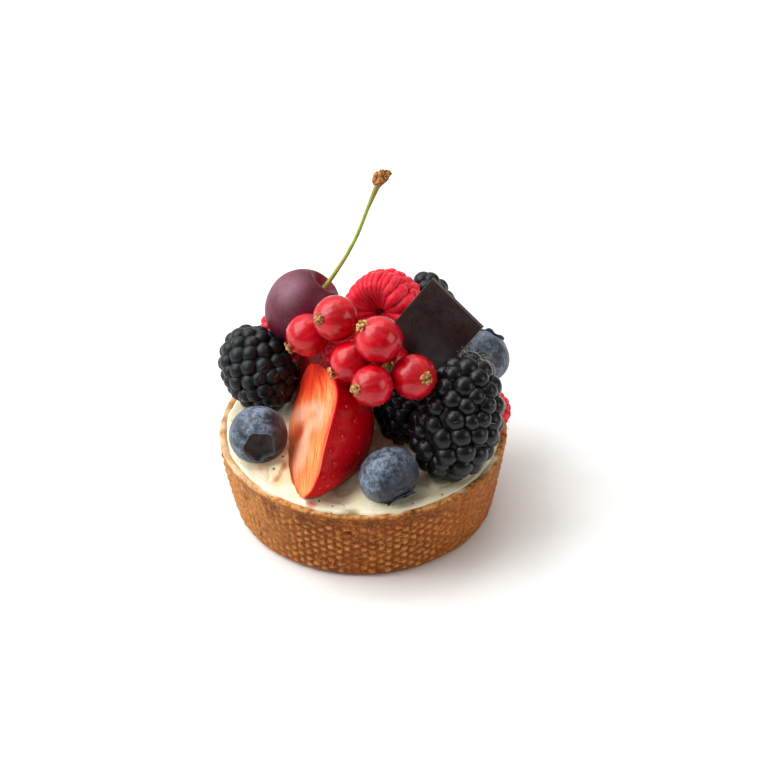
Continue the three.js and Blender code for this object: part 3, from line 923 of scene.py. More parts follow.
cherry = {"at": (-16.3, 18.4, 52.3), "axis": (0.62, 0.12, 0.775), "width": 20.0, "height": 20.4,
          "drop": 1.16, "hollowRadius": 4.2, "hollowDepth": 3.2, "groove": 2.2,
          "paintedHighlightAt": (-21.1, 14.7, 60.3), "hollowAt": (-11.8, 19.0, 57.6),
          "stalk": [(-12.4, 18.3, 55.2), (-7.6, 20.4, 61.4), (-1.9, 24.3, 70.0), (1.7, 28.4, 77.6),
                    (4.5, 31.8, 83.0)],
          "stalkRadii": [0.8, 0.62, 0.54, 0.57, 0.9],
          "knobScales": 9, "knobLength": 4.4, "knobRadius": 2.2}


def makeCherryMaterial():
    material = newMaterial("cherry", {"IOR": 1.42, **lightInside(0.1, 1.5, (1.0, 0.15, 0.2)),
                                      "Specular IOR Level": 0.4})
    # painted highlight: a pale mauve patch on the upper left, where the key lamp's highlight falls
    paleLayer = between(away(cherry["paintedHighlightAt"]), 1.5, 8.5, 0.45, 0.0)
    wire("Base Color", paint(
        # painted shade: darker towards the bottom
        "4c0820", (mottle(7.0, 0.35, 0.65), "641632"), (between(along("Z"), 53, 43, 0.0, 0.8), "3a0414"),
        (times(paleLayer, mottle(6.0, 0.1, 0.6, 4.0)), "96707c"), (times(speckle(0.5, 0.1, 0.16), 0.45), "a05c74"),
        (between(away(cherry["hollowAt"]), 2.0, 6.0, 0.9, 0.0), "7c1022")))
    roughen(1.2, 0.4, 0.5)
    bumpUp(noiseHeight(0.35), 0.09)
    return material


def makeCherry():
    wide, tall = cherry["width"] / 2, cherry["height"] / 2
    fruit = addBall("cherry", 96, 72)

    def rule(places):
        top = places[:, 2] > 0
        places = places * asPlaces(wide, wide, np.where(top, tall, tall * cherry["drop"]))
        x, y, z = places.T
        out, turn = np.hypot(x, y), np.arctan2(y, x)
        dip = 1 - ease(out, 0.2, cherry["hollowRadius"] * 1.25)
        z -= np.where(top, cherry["hollowDepth"] * dip ** 1.3, -0.5 * np.exp(-(out / 1.2) ** 2))
        groove = np.exp(-((turn - cherry["groove"]) / 0.09) ** 2) * 0.12 * ease(out, 2, 6)
        places[:, :2] *= (1 - groove / wide + 0.018 * np.cos(2 * turn))[:, None]
        return places * (1 + 0.006 * ripple(places, 6.0, 4))[:, None]
    sculpt(fruit, rule)
    fruit.data.transform(placeAt(cherry["at"], cherry["axis"]))
    finish(fruit, makeCherryMaterial(), "cherry", "cherry")

    stalk = tube("cherry_stem", cherry["stalk"], cherry["stalkRadii"], 3)
    sculpt(stalk, lambda places: places + 0.05 * ripple(places, 2.5, 6)[:, None])
    green = newMaterial("cherry_stalk", {"Roughness": 0.4, **lightInside(0.15, 0.6)})
    height = along("Z")  # pale where it leaves the fruit and brown at its woody end
    wire("Base Color", paint("a3ab48", (mottle(3.0), "8d9c3a"), (between(height, 56, 60, 1.0, 0.0), "b3a860"),
                             (between(height, 77, 82), "8a7a3c")))
    finish(stalk, green, "stem", "cherry_stem")

    draw = random.Random(5)
    end = Vector(cherry["stalk"][-1])
    way = (end - Vector(cherry["stalk"][-2])).normalized()
    length, knobRadius, lumps = cherry["knobLength"], cherry["knobRadius"], []
    for i in range(cherry["knobScales"]):  # woody scales crowded round the stalk's end
        share, turn = i / (cherry["knobScales"] - 1), golden * i
        out = knobRadius * 0.45 * (i > 0)
        centre = Vector((out * math.cos(turn), out * math.sin(turn), length * (0.15 + 0.7 * share)))
        radius = knobRadius * draw.uniform(0.42, 0.62)
        stretch = Matrix.Diagonal((radius, radius * 0.8, radius * 1.15, 1))
        lumps.append(addLump("lump", 3))
        lumps[-1].data.transform(placeAt(centre, (centre.x, centre.y, 1.5), turn) @ stretch)
    knob = joinPieces("cherry_stem_knob", lumps)
    sculpt(knob, lambda places: places * (
        1 + 0.16 * ripple(places, 0.8, 3) + 0.08 * ripple(places, 0.35, 8))[:, None])
    knob.data.transform(placeAt(end - way * 0.3, way))
    finish(knob, makeDry("stalk_end", "c08438", "6a3c16"), "stem_knob", "cherry_stem_knob")
    print("cherry ready")


makeCherry()


# Half a strawberry

strawberry = {
    "tip": (-15.8, -32.5, 25.1), "along": (0.07, 0.9, 0.42), "face": (-0.892, -0.133, 0.4335), "seeds": 210,
    "left": [(-1, 0), (3, 1.5), (6, 4), (8.5, 6.5), (10.5, 9.8), (12.2, 13.5), (13.4, 18), (14.6, 23), (15.3, 28),
             (14.6, 32.5), (12.4, 36.5), (9.5, 40), (6, 42.3), (3.5, 42.6)],
    "right": [(-1, 0), (-5, 0.8), (-8.4, 3.5), (-9.8, 7), (-11, 10.5), (-12.6, 14), (-14.6, 18), (-16, 21.5),
              (-16.1, 25), (-14.3, 28.8), (-11.5, 32.2), (-7.5, 35.8), (-3, 39.2), (3.5, 42.6)],
    "bulge": [0, 3.7, 6.9, 10.3, 13.4, 15.6, 16.9, 17.3, 17, 16, 14, 11.5, 8, 0],
    "pale": [(3, 27.2, 14.5, 3.4, 0.33), (5, 14.4, 7.6, 5.8, -0.1), (-5, 22, 8.5, 4.2, 0.12), (3, 20, 5.2, 5.2)],
    "notch": (-1.2, 24.6, 3.8, 1.5, 0.25), "heart": (9.2, 23.4, 5.6, 3.2, 0.15),  # ovals on the cut face
    "seedSize": (0.3, 0.52, 0.24), "seedSunk": 0.26}


def smoothRow(values, stops):  # a smooth curve through evenly spaced values
    values = np.array(values, float)
    ends = np.concatenate([[2 * values[0] - values[1]], values, [2 * values[-1] - values[-2]]])
    at = np.clip(stops, 0, 1) * (len(values) - 1)
    i = np.minimum(at.astype(int), len(values) - 2)
    t = at - i
    a, b, c, d = (ends[i + k] for k in range(4))
    return 0.5 * (2 * b + (c - a) * t + (2 * a - 5 * b + 4 * c - d) * t * t + (3 * b - a - 3 * c + d) * t ** 3)


def strawberryPoint(share, angle):  # share runs from tip to crown; angles within 90 degrees are skin
    left, right = ([smoothRow([place[k] for place in strawberry[side]], share) for k in (0, 1)]
                   for side in ("left", "right"))
    out = np.sin(angle)
    y, z = ((left[k] + right[k]) / 2 + (left[k] - right[k]) / 2 * out for k in (0, 1))
    x = np.clip(np.cos(angle), 0, None) * smoothRow(strawberry["bulge"], share)
    return np.stack([x, y, z], -1)


def oval(y, z, atY, atZ, wide, tall, slant=0.0):  # 0 in the middle and 1 on the oval's edge
    dy = y - atY
    return np.hypot(dy / wide, (z - atZ - slant * dy) / tall)


def paintCut(fruit, shape, share, out, flat):  # where the cut face is pale, orange or red
    y, z = shape[:, 1], shape[:, 2]
    strands = ripple(asPlaces(out * 9, share * 5, 4), 1.0, 5)
    fray = 0.16 * strands + 0.14 * ripple(asPlaces(y, z, 0), 3.0, 6)
    pale = np.max([1 - ease(oval(y, z, *place) + fray, 0.3, 1.3) for place in strawberry["pale"]], axis=0)
    notch = 1 - ease(oval(y, z, *strawberry["notch"]) + fray, 0.2, 1.3)
    heart = 1 - ease(oval(y, z, *strawberry["heart"]) + fray * 0.8, 0.2, 1.35)
    edge = (1 - np.abs(out)) * np.hypot(y, 12) * 0.9
    edge = np.minimum(edge, np.minimum(share, (1 - share) * 1.1) * 42)
    edge += 1.6 * ease(out, 0.2, 0.7)  # the far edge has no red line
    masks = {"cut": flat, "pale": pale * (1 - 0.55 * notch) * flat, "heart": heart * flat,
             "top": ease(z + 2.5 * strands, 30, 40) * flat,
             "inset": np.where(flat, edge + 0.6 * strands * (edge > 0.2), 0), "across": out, "along": share}
    for name, values in masks.items():
        addMask(fruit, name, values)
    return heart


def spreadSeeds():  # where the seeds lie on the skin, and which way they face
    seeds, ways, count = [], [], strawberry["seeds"]
    for i in range(count):
        angle = math.remainder(golden * i, fullTurn)
        t = 0.05 + 0.92 * (i + 0.5) / count
        if abs(angle) < 1.45:
            spot = strawberryPoint(np.array([t, t + 0.01, t]), np.array([angle, angle, angle + 0.02]))
            seeds.append(spot[0])
            ways.append(Vector(np.cross(spot[2] - spot[0], spot[1] - spot[0])).normalized())
    return np.array(seeds), ways


def makeStrawberrySeeds(seeds, ways, place):
    pip = addLump("pip", 2)

    def drop(places):
        wide, long, thick = strawberry["seedSize"]
        return places * asPlaces(wide * (1 - 0.45 * ease(places[:, 1], -0.2, 1.0)), long, thick)
    sculpt(pip, drop)
    pips = []
    for spot, normal in zip(seeds, ways):
        side = Vector((0, 0, 1)).cross(normal).normalized()
        foot = Vector(spot) - normal * strawberry["seedSunk"]
        pips.append(copyPiece(pip, placeBy(foot, side, normal.cross(side), normal)))
    removePieces(pip)
    grains = joinPieces("strawberry_seeds", pips)
    grains.data.transform(place)
    finish(grains, makeTwoTone("strawberry_seed", {"Roughness": 0.35}, (4.0, 0.45, 0.65), "b01c24", "d0642f"),
           "strawberry")


def makeStrawberry():
    fruit = addBall("strawberry_half", 168, 120)
    x, y, z = getPlaces(fruit).T
    share = np.arccos(np.clip(-z, -1, 1)) / math.pi
    turn = np.arctan2(y, x)
    flat = np.abs(turn) > math.pi / 2 + 1e-6
    out = np.sin(turn)
    shape = strawberryPoint(share, turn)
    seeds, ways = spreadSeeds()
    gaps = np.linalg.norm(shape[:, None] - seeds[None], axis=2).min(axis=1)
    step = 0.004
    right, left = strawberryPoint(share, turn + step), strawberryPoint(share, turn - step)
    upper, lower = strawberryPoint(share + step, turn), strawberryPoint(share - step, turn)
    outward = np.cross(right - left, upper - lower)
    outward /= np.linalg.norm(outward, axis=1)[:, None] + 1e-9
    dent = -0.3 * np.exp(-(gaps / 0.7) ** 2) + 0.3 * ripple(shape, 7.0, 3) + 0.07 * ripple(shape, 1.8, 5)
    skin = ease(shape[:, 0], 0.0, 1.5) * ease(share, 0.0, 0.05) * ease(share, 1.0, 0.95)
    shape = np.where(flat[:, None], shape, shape + outward * (dent * skin)[:, None])
    heart = paintCut(fruit, shape, share, out, flat)
    strands = ripple(asPlaces(out * 11, share * 4, 0), 1.0, 7)
    inner = ease(1 - np.abs(out), 0.0, 0.12)
    relief = -0.3 * inner * (1 - ease(out, 0.1, 0.7)) + 0.16 * strands * inner
    relief = relief + 0.25 * ripple(shape, 6.0, 9) * inner + 0.6 * heart
    shape[flat, 0] += relief[flat]
    sculpt(fruit, lambda _: shape)
    up = Vector(strawberry["along"]).normalized()
    inward = -Vector(strawberry["face"])
    inward = (inward - up * inward.dot(up)).normalized()
    place = placeBy(strawberry["tip"], inward, up.cross(inward), up)
    fruit.data.transform(place)
    finish(fruit, makeStrawberryMaterial(), "strawberry", "strawberry_half")
    makeStrawberrySeeds(seeds, ways, place)
    print("strawberry ready")


def makeStrawberryMaterial():
    material = newMaterial("strawberry", {
        **lightInside(0.2, 1.5, (1.0, 0.3, 0.18)), "IOR": 1.33, "Specular IOR Level": 0.2})
    share, cut = readMask("along"), readMask("cut")
    bend = times(mottle(5.0, 0.2, 0.8, 3.0), 0.16)
    fan = addNode("CombineXYZ", {"X": times(compute("ADD", readMask("across"), bend), 15.0),
                                 "Y": times(share, 5.0), "Z": 3.0}).outputs[0]
    strand = between(cloud(fan, 4.0), 0.28, 0.72)

    def fibres(dark, light):
        return blend(strand, dark, light)
    flesh = paint(
        fibres("e6602f", "f09a5e"), (between(share, 0.62, 0.8), fibres("d42212", "ea6634")),
        (readMask("top"), fibres("c01010", "dc3c26")), (readMask("pale"), fibres("ea9878", "f0b090")),
        (times(readMask("heart"), 0.95), "d8401e"),
        (between(readMask("inset"), 0.5, 3.0, 0.85, 0.0), fibres("e02422", "f2644a")),
        (between(readMask("inset"), 0.05, 0.7, 1.0, 0.0), "c00c18"))
    # painted glints: small pale specks scattered over the skin
    skin = paint("a6000e", (mottle(9.0, 0.35, 0.7), "c20412"), (times(speckle(1.1, 0.08, 0.2), 0.3), "d8444a"))
    wire("Base Color", blend(cut, skin, flesh))
    wire("Roughness", compute("ADD", times(cut, 0.12), 0.28))
    bumpUp(compute("ADD", noiseHeight(0.5), times(strand, cut)), 0.12, 0.6)
    return material


makeStrawberry()


# Chocolate plaque, bare

plaque = {"at": (19.35, 0.6, 56.45), "face": (-0.45, -0.862, 0.233), "edge": (0.705, -0.5, -0.502),
          "side": 19, "tall": 22.5, "thickness": 1.1, "bevel": 0.12}


def makeChocolate():
    material = newMaterial("chocolate", {"IOR": 1.45, "Coat Weight": 0.08, "Coat Roughness": 0.3})
    wire("Base Color", paint("1d1516", (mottle(5.0, 0.35, 0.7), "261c1c"),
                             (times(mottle(0.7, 0.5, 0.7), 0.3), "3b2f2e"), (readMask("rim"), "4c3d3a")))
    roughen(2.5, 0.36, 0.5)
    bumpUp(noiseHeight(0.8), 0.05)
    return material


def makePlaque():
    slab = addPrimitive(bpy.ops.mesh.primitive_cube_add, "chocolate_plaque", size=1)
    pick(slab, "FACE")
    bpy.ops.transform.resize(value=(plaque["side"], plaque["tall"], plaque["thickness"]))
    useModifier(slab, "BEVEL", width=plaque["bevel"], segments=2)
    pick(slab, "FACE", lambda face: abs(face.normal.z) > 0.9 and face.calc_area() > 100)
    bpy.ops.mesh.inset(thickness=0.25)
    bpy.ops.mesh.subdivide(number_cuts=12)

    def toEdge(places):  # how far each point is from the nearest edge
        return np.minimum(plaque["side"] / 2 - np.abs(places[:, 0]), plaque["tall"] / 2 - np.abs(places[:, 1]))

    def warp(places):  # poured thin, so neither face is quite flat
        places[:, 2] += 0.07 * ripple(places * np.array((1, 1, 0)), 6.0, 2)
        edge = toEdge(places) < 0.05
        places[:, :2] *= (1 - 0.004 * edge * (1 + ripple(places, 1.5, 5)))[:, None]
        return places
    sculpt(slab, warp)
    addMask(slab, "rim", toEdge(getPlaces(slab)) < 0.2)
    face = Vector(plaque["face"]).normalized()
    edge = Vector(plaque["edge"])
    edge = (edge - face * edge.dot(face)).normalized()
    slab.data.transform(placeBy(plaque["at"], edge, face.cross(edge), face))
    finish(slab, makeChocolate(), "chocolate", "chocolate_plaque")
    activate(slab)
    bpy.ops.object.shade_smooth_by_angle(angle=math.radians(35))
    print("plaque ready")


makePlaque()


# Cream with the prints of the fruit

cream = {"level": 23.3, "edge": 37.7, "lip": 23.95, "lipBand": (30.5, 37.0), "cuts": 216,
         "tucks": [(0.955, 23), (0.93, 3.6)],  # in under the lip, then down the crust's wall
         "mound": {"at": (1, 9), "radius": 26, "flat": 0.1, "rise": 20.2},
         "heap": {"at": (-15, 17), "radius": 11, "flat": 0.2, "rise": 10.5},  # what the cherry leans on
         "laps": [(-22.3, -19, 6, -0.35, 1.1), (16, -31, 7, 1.9, 0.8), (-31, 3, 6, 0.3, 0.8),
                  (0, 34, 7, -1.3, 0.8)],  # x, y, reach, turn and thickness
         # each patch has a place, an inner and an outer radius, a cover and a colour; the first is a juice stain
         # with a painted red reflection from the strawberry in the shade
         "stainsAndReflection": [((3.5, -9, 25), 4, 10, 0.0, "dca08c"), ((-14.4, 15, 37), 7, 12, 0.95, "960a12"),
                    ((-21.6, -17, 24), 0.4, 2.4, 0.7, "c09a68"), ((-23.2, -22, 24), 0.4, 2.0, 0.6, "c8a878"),
                    ((-14.2, -33.6, 24), 0.8, 2.4, 0.2, "d08a70"), ((-28, -17.5, 24), 0.5, 2.0, 0.0, "dcc49a"),
                    ((-3.6, -37.9, 24), 0.8, 4.0, 0.45, "8d7c4c")]}
crumbs = {"spots": [(-12.1, -31.8), (-22, -14.6), (-24.2, -18.4), (-28.6, -8), (-8.4, -33.9), (13, -33.5),
                    (21, -30)],
          "spotSize": (0.2, 0.34), "count": 16, "size": (0.1, 0.24), "out": 37.2}


def creamHeight(x, y):
    height = cream["level"]
    for hill in (cream["mound"], cream["heap"]):
        reach = np.hypot(x - hill["at"][0], y - hill["at"][1]) / hill["radius"]
        height = height + hill["rise"] * (1 - ease(reach, hill["flat"], 1))
    wave = 0.35 * np.sin(x * 0.31 + 1.2) + 0.3 * np.cos(y * 0.27 + x * 0.11)
    return height + wave * np.minimum(1, (40 - np.hypot(x, y)) / 10)


def undersides(x, y):  # how high the lowest fruit is over each point of the cream
    points, faces = [], []
    for fruit in pressedIn:
        start = len(points)
        points += [tuple(place) for place in getPlaces(fruit) / mm]
        faces += [[start + v for v in face.vertices] for face in fruit.data.polygons]
    heap = BVHTree.FromPolygons(points, faces)
    hits = [heap.ray_cast(Vector((px, py, -5)), Vector((0, 0, 1)))[0] for px, py in zip(x, y)]
    return np.array([math.inf if hit is None else hit.z for hit in hits])


def makeCreamMaterial():
    material = newMaterial("cream", {"IOR": 1.42, **lightInside(0.4, 3, (1.0, 0.75, 0.45))})
    # painted shade: the fold mask darkens the low parts of the swirls and the creases
    ivory = paint("f4ead0", (mottle(8.0, 0.35, 0.65), "eadfba"),
                  (times(mottle(2.0, 0.5, 0.8, 6.0), 0.4), "e3d4aa"), (times(readMask("fold"), 0.5), "d8c495"))
    for spot, near, far, cover, colour in cream["stainsAndReflection"]:
        patchy = between(mottle(2.6, 0.3, 0.55, near), 0, 1, cover, 1.0)
        ivory = blend(times(between(away(spot), near, far, 1.0, 0.0), patchy), ivory, colour)
    wire("Base Color", ivory)
    roughen(3.0, 0.3, 0.5)
    bumpUp(noiseHeight(1.2), 0.12, 0.6)
    return material


def makeCream():
    cuts, rim = cream["cuts"], cream["edge"]
    filling = addPrimitive(bpy.ops.mesh.primitive_grid_add, "cream", size=2,
                           x_subdivisions=cuts, y_subdivisions=cuts)

    def toDisc(places):  # the square grid becomes a round one
        x, y, z = places.T
        return asPlaces(x * np.sqrt(1 - y * y / 2) * rim, y * np.sqrt(1 - x * x / 2) * rim, z)
    sculpt(filling, toDisc)
    places = getPlaces(filling)
    x, y, z = places.T
    out = np.hypot(x, y)
    ring = asPlaces(x, y, 0) / np.maximum(out, 0.1)[:, None] * 38
    lap = 1 + 0.012 * ripple(ring, 6.0, 14) + 0.006 * ripple(ring, 1.8, 15)
    places[:, :2] *= (1 + (lap - 1) * (out / rim) ** 6)[:, None]
    flat = asPlaces(x, y, 0)
    swirl = ripple(flat + 3 * asPlaces(ripple(flat, 9.0, 3), ripple(flat, 9.0, 4), 0), 8.0, 1)
    crease = ripple(flat + 2.5 * asPlaces(ripple(flat, 5.0, 5), ripple(flat, 5.0, 6), 0), 7.0, 8)
    crease = np.clip(1 - np.abs(crease) / 0.1, 0, 1) ** 2 * ease(ripple(flat, 12.0, 9), -0.1, 0.2)
    height = creamHeight(x, y)
    height += 1.5 * swirl - 0.6 * crease + 0.4 * ripple(flat, 3.6, 7) + 0.05 * ripple(flat, 1.2, 2)
    for lapX, lapY, reach, turned, thick in cream["laps"]:  # spoonfuls that lap over each other
        ahead = (x - lapX) * math.cos(turned) + (y - lapY) * math.sin(turned) + 0.5 * ripple(flat, 2.5, 17)
        height += thick * np.exp(-(np.hypot(x - lapX, y - lapY) / reach) ** 2) * ease(ahead, 0.5, -0.5)
    out = np.hypot(x, y)
    edge = ease(out, *cream["lipBand"])
    lip = cream["lip"] + 0.3 * ripple(flat, 6.0, 12) + 0.12 * ripple(flat, 2.0, 13)
    height = height * (1 - edge) + edge * lip
    height -= 0.9 * ease(out / (rim * lap), 0.975, 1.0)
    # the fold mask marks where the painted shade goes
    addMask(filling, "fold", ease(-swirl + 0.5 * crease, 0.0, 0.6) * (1 - edge))
    x *= 1 + 0.022 * ease(out, 26, 37)
    low = undersides(x, y)
    gap = low - height
    close = np.exp(-np.clip(gap, 0, None) / 0.8)
    z[:] = np.where(gap > 0, np.minimum(height + 0.7 * close, low + 0.15), low + 0.15)
    sculpt(filling, lambda _: places)
    pick(filling, "EDGE", lambda edge: edge.is_boundary)
    for share, level in cream["tucks"]:
        extrude(0)
        shape = bmesh.from_edit_mesh(filling.data)
        for vertex in shape.verts:
            if vertex.select:
                vertex.co = (vertex.co.x * share, vertex.co.y * share, level)
        bmesh.update_edit_mesh(filling.data)
    bpy.ops.mesh.edge_face_add()
    bpy.ops.mesh.select_all(action="SELECT")
    bpy.ops.mesh.normals_make_consistent(inside=False)
    objectMode()
    finish(filling, makeCreamMaterial(), "cream", "cream")
    print("cream ready")
    return places


def makeCrumbs(surface):  # bits of the crust on the cream
    draw = random.Random(61)
    spots = [(spot, draw.uniform(*crumbs["spotSize"])) for spot in crumbs["spots"]]
    for _ in range(crumbs["count"]):
        turn, out = draw.uniform(0, fullTurn), crumbs["out"] - 5 * draw.random() ** 3
        spots.append(((out * math.cos(turn), out * math.sin(turn)), draw.uniform(*crumbs["size"])))
    bit, bits = addLump("bit", 2), []
    for i, (spot, radius) in enumerate(spots):
        under = surface[np.argmin(np.hypot(surface[:, 0] - spot[0], surface[:, 1] - spot[1]))]
        stretch = Matrix.Diagonal([radius * draw.uniform(0.7, 1.3) for _ in range(3)] + [1])
        bits.append(copyPiece(bit))
        sculpt(bits[-1], lambda places: places * (1 + 0.5 * ripple(places, 0.9, i))[:, None])
        bits[-1].data.transform(placeAt(under, (draw.uniform(-1, 1), draw.uniform(-1, 1), 1)) @ stretch)
    removePieces(bit)
    finish(joinPieces("cream_crumbs", bits), makeDry("crumb", "9a6434", "4c2e18"), "crust")


makeCrumbs(makeCream())


# Crust

crust = {"rim": 39.3, "foot": 35.6, "height": 24, "wall": 2.1, "floor": 3.2, "sides": 864, "footRound": 1.8,
         "rimRound": 0.7, "narrowing": 0.93, "outerCuts": 66, "innerCuts": 8,
         "columns": 108, "pitch": 2.6, "lowest": 2.5, "highest": 19.9, "dot": 0.84, "rise": 0.52, "oval": 1.022,
         "burnt": [(-15.5, 21, 4.2, 3.2), (-8.5, 22.2, 3.2, 1.4), (3, 21.6, 5, 1.6), (17, 21.4, 6, 1.8),
                   (-24, 19, 2.4, 4)],  # x, height, half width and half height of each dark patch
         "chips": [(-4.3, 17.6, 1.6, 0.8, 0.6), (-1.6, 15.8, 0.8, 0.5, 0.4), (12.5, 19.8, 0.9, 0.5, 0.4)]}


def makeCup():
    height, foot = crust["height"], crust["foot"]
    cup = addPrimitive(bpy.ops.mesh.primitive_cylinder_add, "crust", vertices=crust["sides"], radius=foot,
                       depth=height, location=(0, 0, height / 2))

    def reaches(edge):  # how far out its two ends are
        return [vertex.co.xy.length for vertex in edge.verts]

    def isTall(edge):
        return abs(edge.verts[0].co.z - edge.verts[1].co.z) > 10
    pick(cup, "VERT", lambda vertex: vertex.co.z > height - 0.1)
    scaleFlat(crust["rim"] / foot)
    pick(cup, "FACE", lambda face: face.normal.z > 0.9)
    bpy.ops.mesh.inset(thickness=crust["wall"])
    extrude(crust["floor"] - height)
    scaleFlat(crust["narrowing"])
    pick(cup, "EDGE", lambda edge: all(v.co.z < 0.01 for v in edge.verts) and min(reaches(edge)) > foot - 1)
    bpy.ops.mesh.bevel(offset=crust["footRound"], segments=4)
    pick(cup, "EDGE", lambda edge: all(v.co.z > height - 0.01 for v in edge.verts)
         and abs(reaches(edge)[0] - reaches(edge)[1]) < 0.1)
    bpy.ops.mesh.bevel(offset=crust["rimRound"], segments=3)
    pick(cup, "EDGE", lambda edge: isTall(edge) and sum(reaches(edge)) > foot + crust["rim"] - 1)
    bpy.ops.mesh.subdivide(number_cuts=crust["outerCuts"])
    pick(cup, "EDGE", isTall)
    bpy.ops.mesh.subdivide(number_cuts=crust["innerCuts"])
    objectMode()
    return cup


def scatter(column, row, first, second, scale):  # an even chance from 0 to 1 for each dot
    chance = np.sin(column * first + row * second) * scale
    return chance - np.floor(chance)


def dotHeights(x, y, z):  # how high each point of the wall stands on the printed dots, 0 in the seams
    columns, pitch, lowest = crust["columns"], crust["pitch"], crust["lowest"]
    turn = np.arctan2(y, x) / fullTurn * columns
    wide = fullTurn * np.hypot(x, y) / columns
    rise = np.zeros(len(x))
    for side in (0, 1):
        column = np.floor(turn) + side
        lift = (column % 2) * pitch / 2
        row = np.round((z - lowest - lift) / pitch)
        chance = scatter(column, row, 12.9898, 78.233, 43758.5453)
        other = scatter(column, row, 39.425, 11.135, 24634.6345)
        level = lowest + lift + row * pitch + 0.3 * (chance - 0.5)
        gap = np.hypot((turn - column) * wide + 0.25 * (other - 0.5), z - level)
        size = crust["dot"] * (0.85 + 0.3 * other)
        dome = np.sqrt(np.clip(1 - (gap / size) ** 2, 0, 1)) * 0.75 + 0.25 * (1 - ease(gap, size * 0.7, 1.4))
        inside = (level > lowest - 1) & (level < crust["highest"])
        rise = np.maximum(rise, dome * inside * (0.75 + 0.35 * chance))
    return rise


def patches(spots, x, z, fray, near, far):  # soft-edged ovals on the front wall, each with its own depth
    cover = np.zeros(len(x))
    for atX, atZ, wide, tall, *depth in spots:
        gap = np.hypot((x - atX) / wide, (z - atZ) / tall) + fray
        cover = np.maximum(cover, (1 - ease(gap, near, far)) * (depth[0] if depth else 1))
    return cover


def bakeCrust(cup):  # the print of the mould and the small unevenness of baking
    places = getPlaces(cup)
    x, y, z = places.T
    out = np.hypot(x, y)
    outside = ease(out - (crust["foot"] + (crust["rim"] - crust["foot"]) * z / crust["height"]), -1.2, -0.3)
    worn = ease(ripple(places, 8.0, 6), 0.05, 0.45) * 0.6 + 0.15 * ease(-x, 14, 36)
    worn += 0.5 * ease(x, 10, 34) * ease(y, 20, 0)
    dots = dotHeights(x, y, z) * outside * (1 - np.clip(worn, 0, 0.75))
    grain = ripple(places, 0.8, 3)
    uneven = 0.3 * ripple(places, 16.0, 1) + 0.14 * ripple(places, 3.5, 2)
    uneven = uneven + (0.09 + 0.09 * ease(z, 19.6, 21.4)) * grain
    inner = ease(crust["rim"] - out + 0.9 * ripple(places, 3.0, 21), 0.5, 1.3)
    patchy = ease(ripple(places, 5.0, 22), -0.05, 0.3) * (1 - ease(-x, 22, 34))
    thin = 0.6 * ease(-x, 22, 34) * np.clip(0.6 + 0.9 * ripple(places, 3.5, 23), 0, 1)
    smear = ease(z, 22.9, 23.5) * np.maximum(inner * patchy, thin)
    places[:, :2] *= (1 + (uneven * (0.4 + 0.6 * outside) + crust["rise"] * dots) / np.maximum(out, 5))[:, None]
    z += ease(z, 20, 24) * (0.35 * ripple(places, 9.0, 4) + 0.22 * ripple(places, 2.2, 5) + 0.1 * grain - 0.2)
    chip = patches(crust["chips"], x, z, 0.35 * ripple(places, 0.9, 31), 0.3, 1.2) * (y < -20) * outside
    burnt = patches(crust["burnt"], x, z, 0.4 * ripple(places, 2.4, 33), 0.2, 1.3) * (y < 0) * outside
    for name, values in {"relief": dots, "grain": grain, "smear": smear, "chip": chip, "burnt": burnt}.items():
        addMask(cup, name, values)
    places[:, :2] *= (1 - chip / np.maximum(out, 5))[:, None]
    x *= crust["oval"]
    sculpt(cup, lambda _: places)


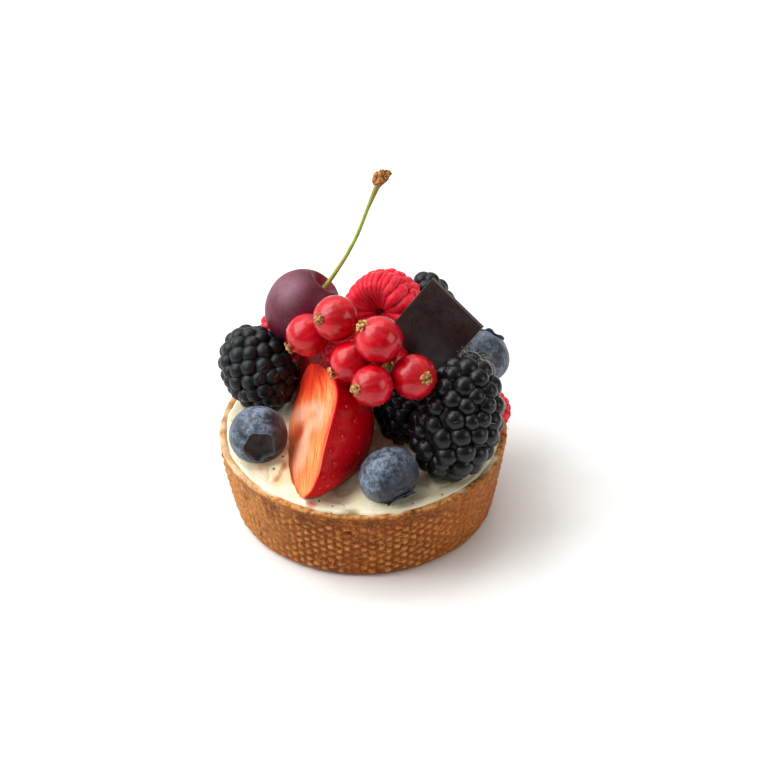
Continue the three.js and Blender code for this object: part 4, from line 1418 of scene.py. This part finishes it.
def makeCrustMaterial():
    material = newMaterial("crust", {"IOR": 1.4, "Specular IOR Level": 0.2})
    relief, grain, height, side = readMask("relief"), readMask("grain"), along("Z"), along("X")
    baked = paint("98501a", (mottle(11.0, 0.35, 0.65), "ac6222"), (mottle(3.0, 0.42, 0.7, 5.0), "84430f"))
    # the dot tops: a crisper bake, partly a painted highlight
    crispLitTops = paint("c07c3e", (mottle(2.2, 0.35, 0.65, 2.0), "d2965a"), (mottle(9.0, 0.45, 0.65, 7.0), "aa601e"))
    wall = times(between(height, 0.6, 2), between(height, 19.6, 21.0, 1.0, 0.0))
    # painted shade in the seams between the dots
    seamShade = times(between(relief, 0.05, 0.4, 1.0, 0.0), wall)
    # painted light: the left side paler, as if lit from the left
    pale = times(between(side, -12, -38, 0.0, 0.8), mottle(6.0, 0.2, 0.5, 1.0))
    warm = times(between(side, 8, 34, 0.0, 0.55), mottle(5.0, 0.2, 0.6, 4.0))
    band = times(between(height, 19.2, 21.0), mottle(2.6, 0.42, 0.66, 4.0, 6.0))
    burnt = times(readMask("burnt"), mottle(1.8, 0.25, 0.6, 12.0, 3.0))
    # painted highlight: a lighter line round the top of the rim
    edge = times(between(height, 23.0, 23.8), mottle(1.6, 0.35, 0.6, 6.0))
    # dark baked spots, and painted shade in the chips
    spots = compute("MAXIMUM", times(mottle(5.0, 0.6, 0.72, 8.0, 5.0), 0.85),
                    between(readMask("chip"), 0.1, 0.5, 0.0, 0.75))
    wire("Base Color", paint(
        baked, (between(relief, 0.35, 0.9, 0.0, 0.85), crispLitTops), (times(seamShade, 0.6), "6a2f08"), (pale, "c48648"),
        (warm, "b4682a"), (between(grain, 0.1, 0.6, 0.0, 0.4), "d6954e"),
        (between(grain, -0.1, -0.5, 0.0, 0.45), "6a3410"), (times(band, 0.6), "5e3212"),
        (times(burnt, 0.7), "5a2e14"), (times(edge, 0.6), "e0ab68"), (times(readMask("smear"), 0.85), "efe0c0"),
        (spots, "43200c"), (times(mottle(0.5, 0.55, 0.75, 3.0), 0.4), "dea766")))
    roughen(1.0, 0.5, 0.75)
    bumpUp(compute("ADD", noiseHeight(0.45, 6.0), times(noiseHeight(1.6), 0.8)), 0.3, 0.8)
    return material


def makeCrust():
    cup = makeCup()
    bakeCrust(cup)
    finish(cup, makeCrustMaterial(), "crust", "crust")
    print("crust ready")


makeCrust()
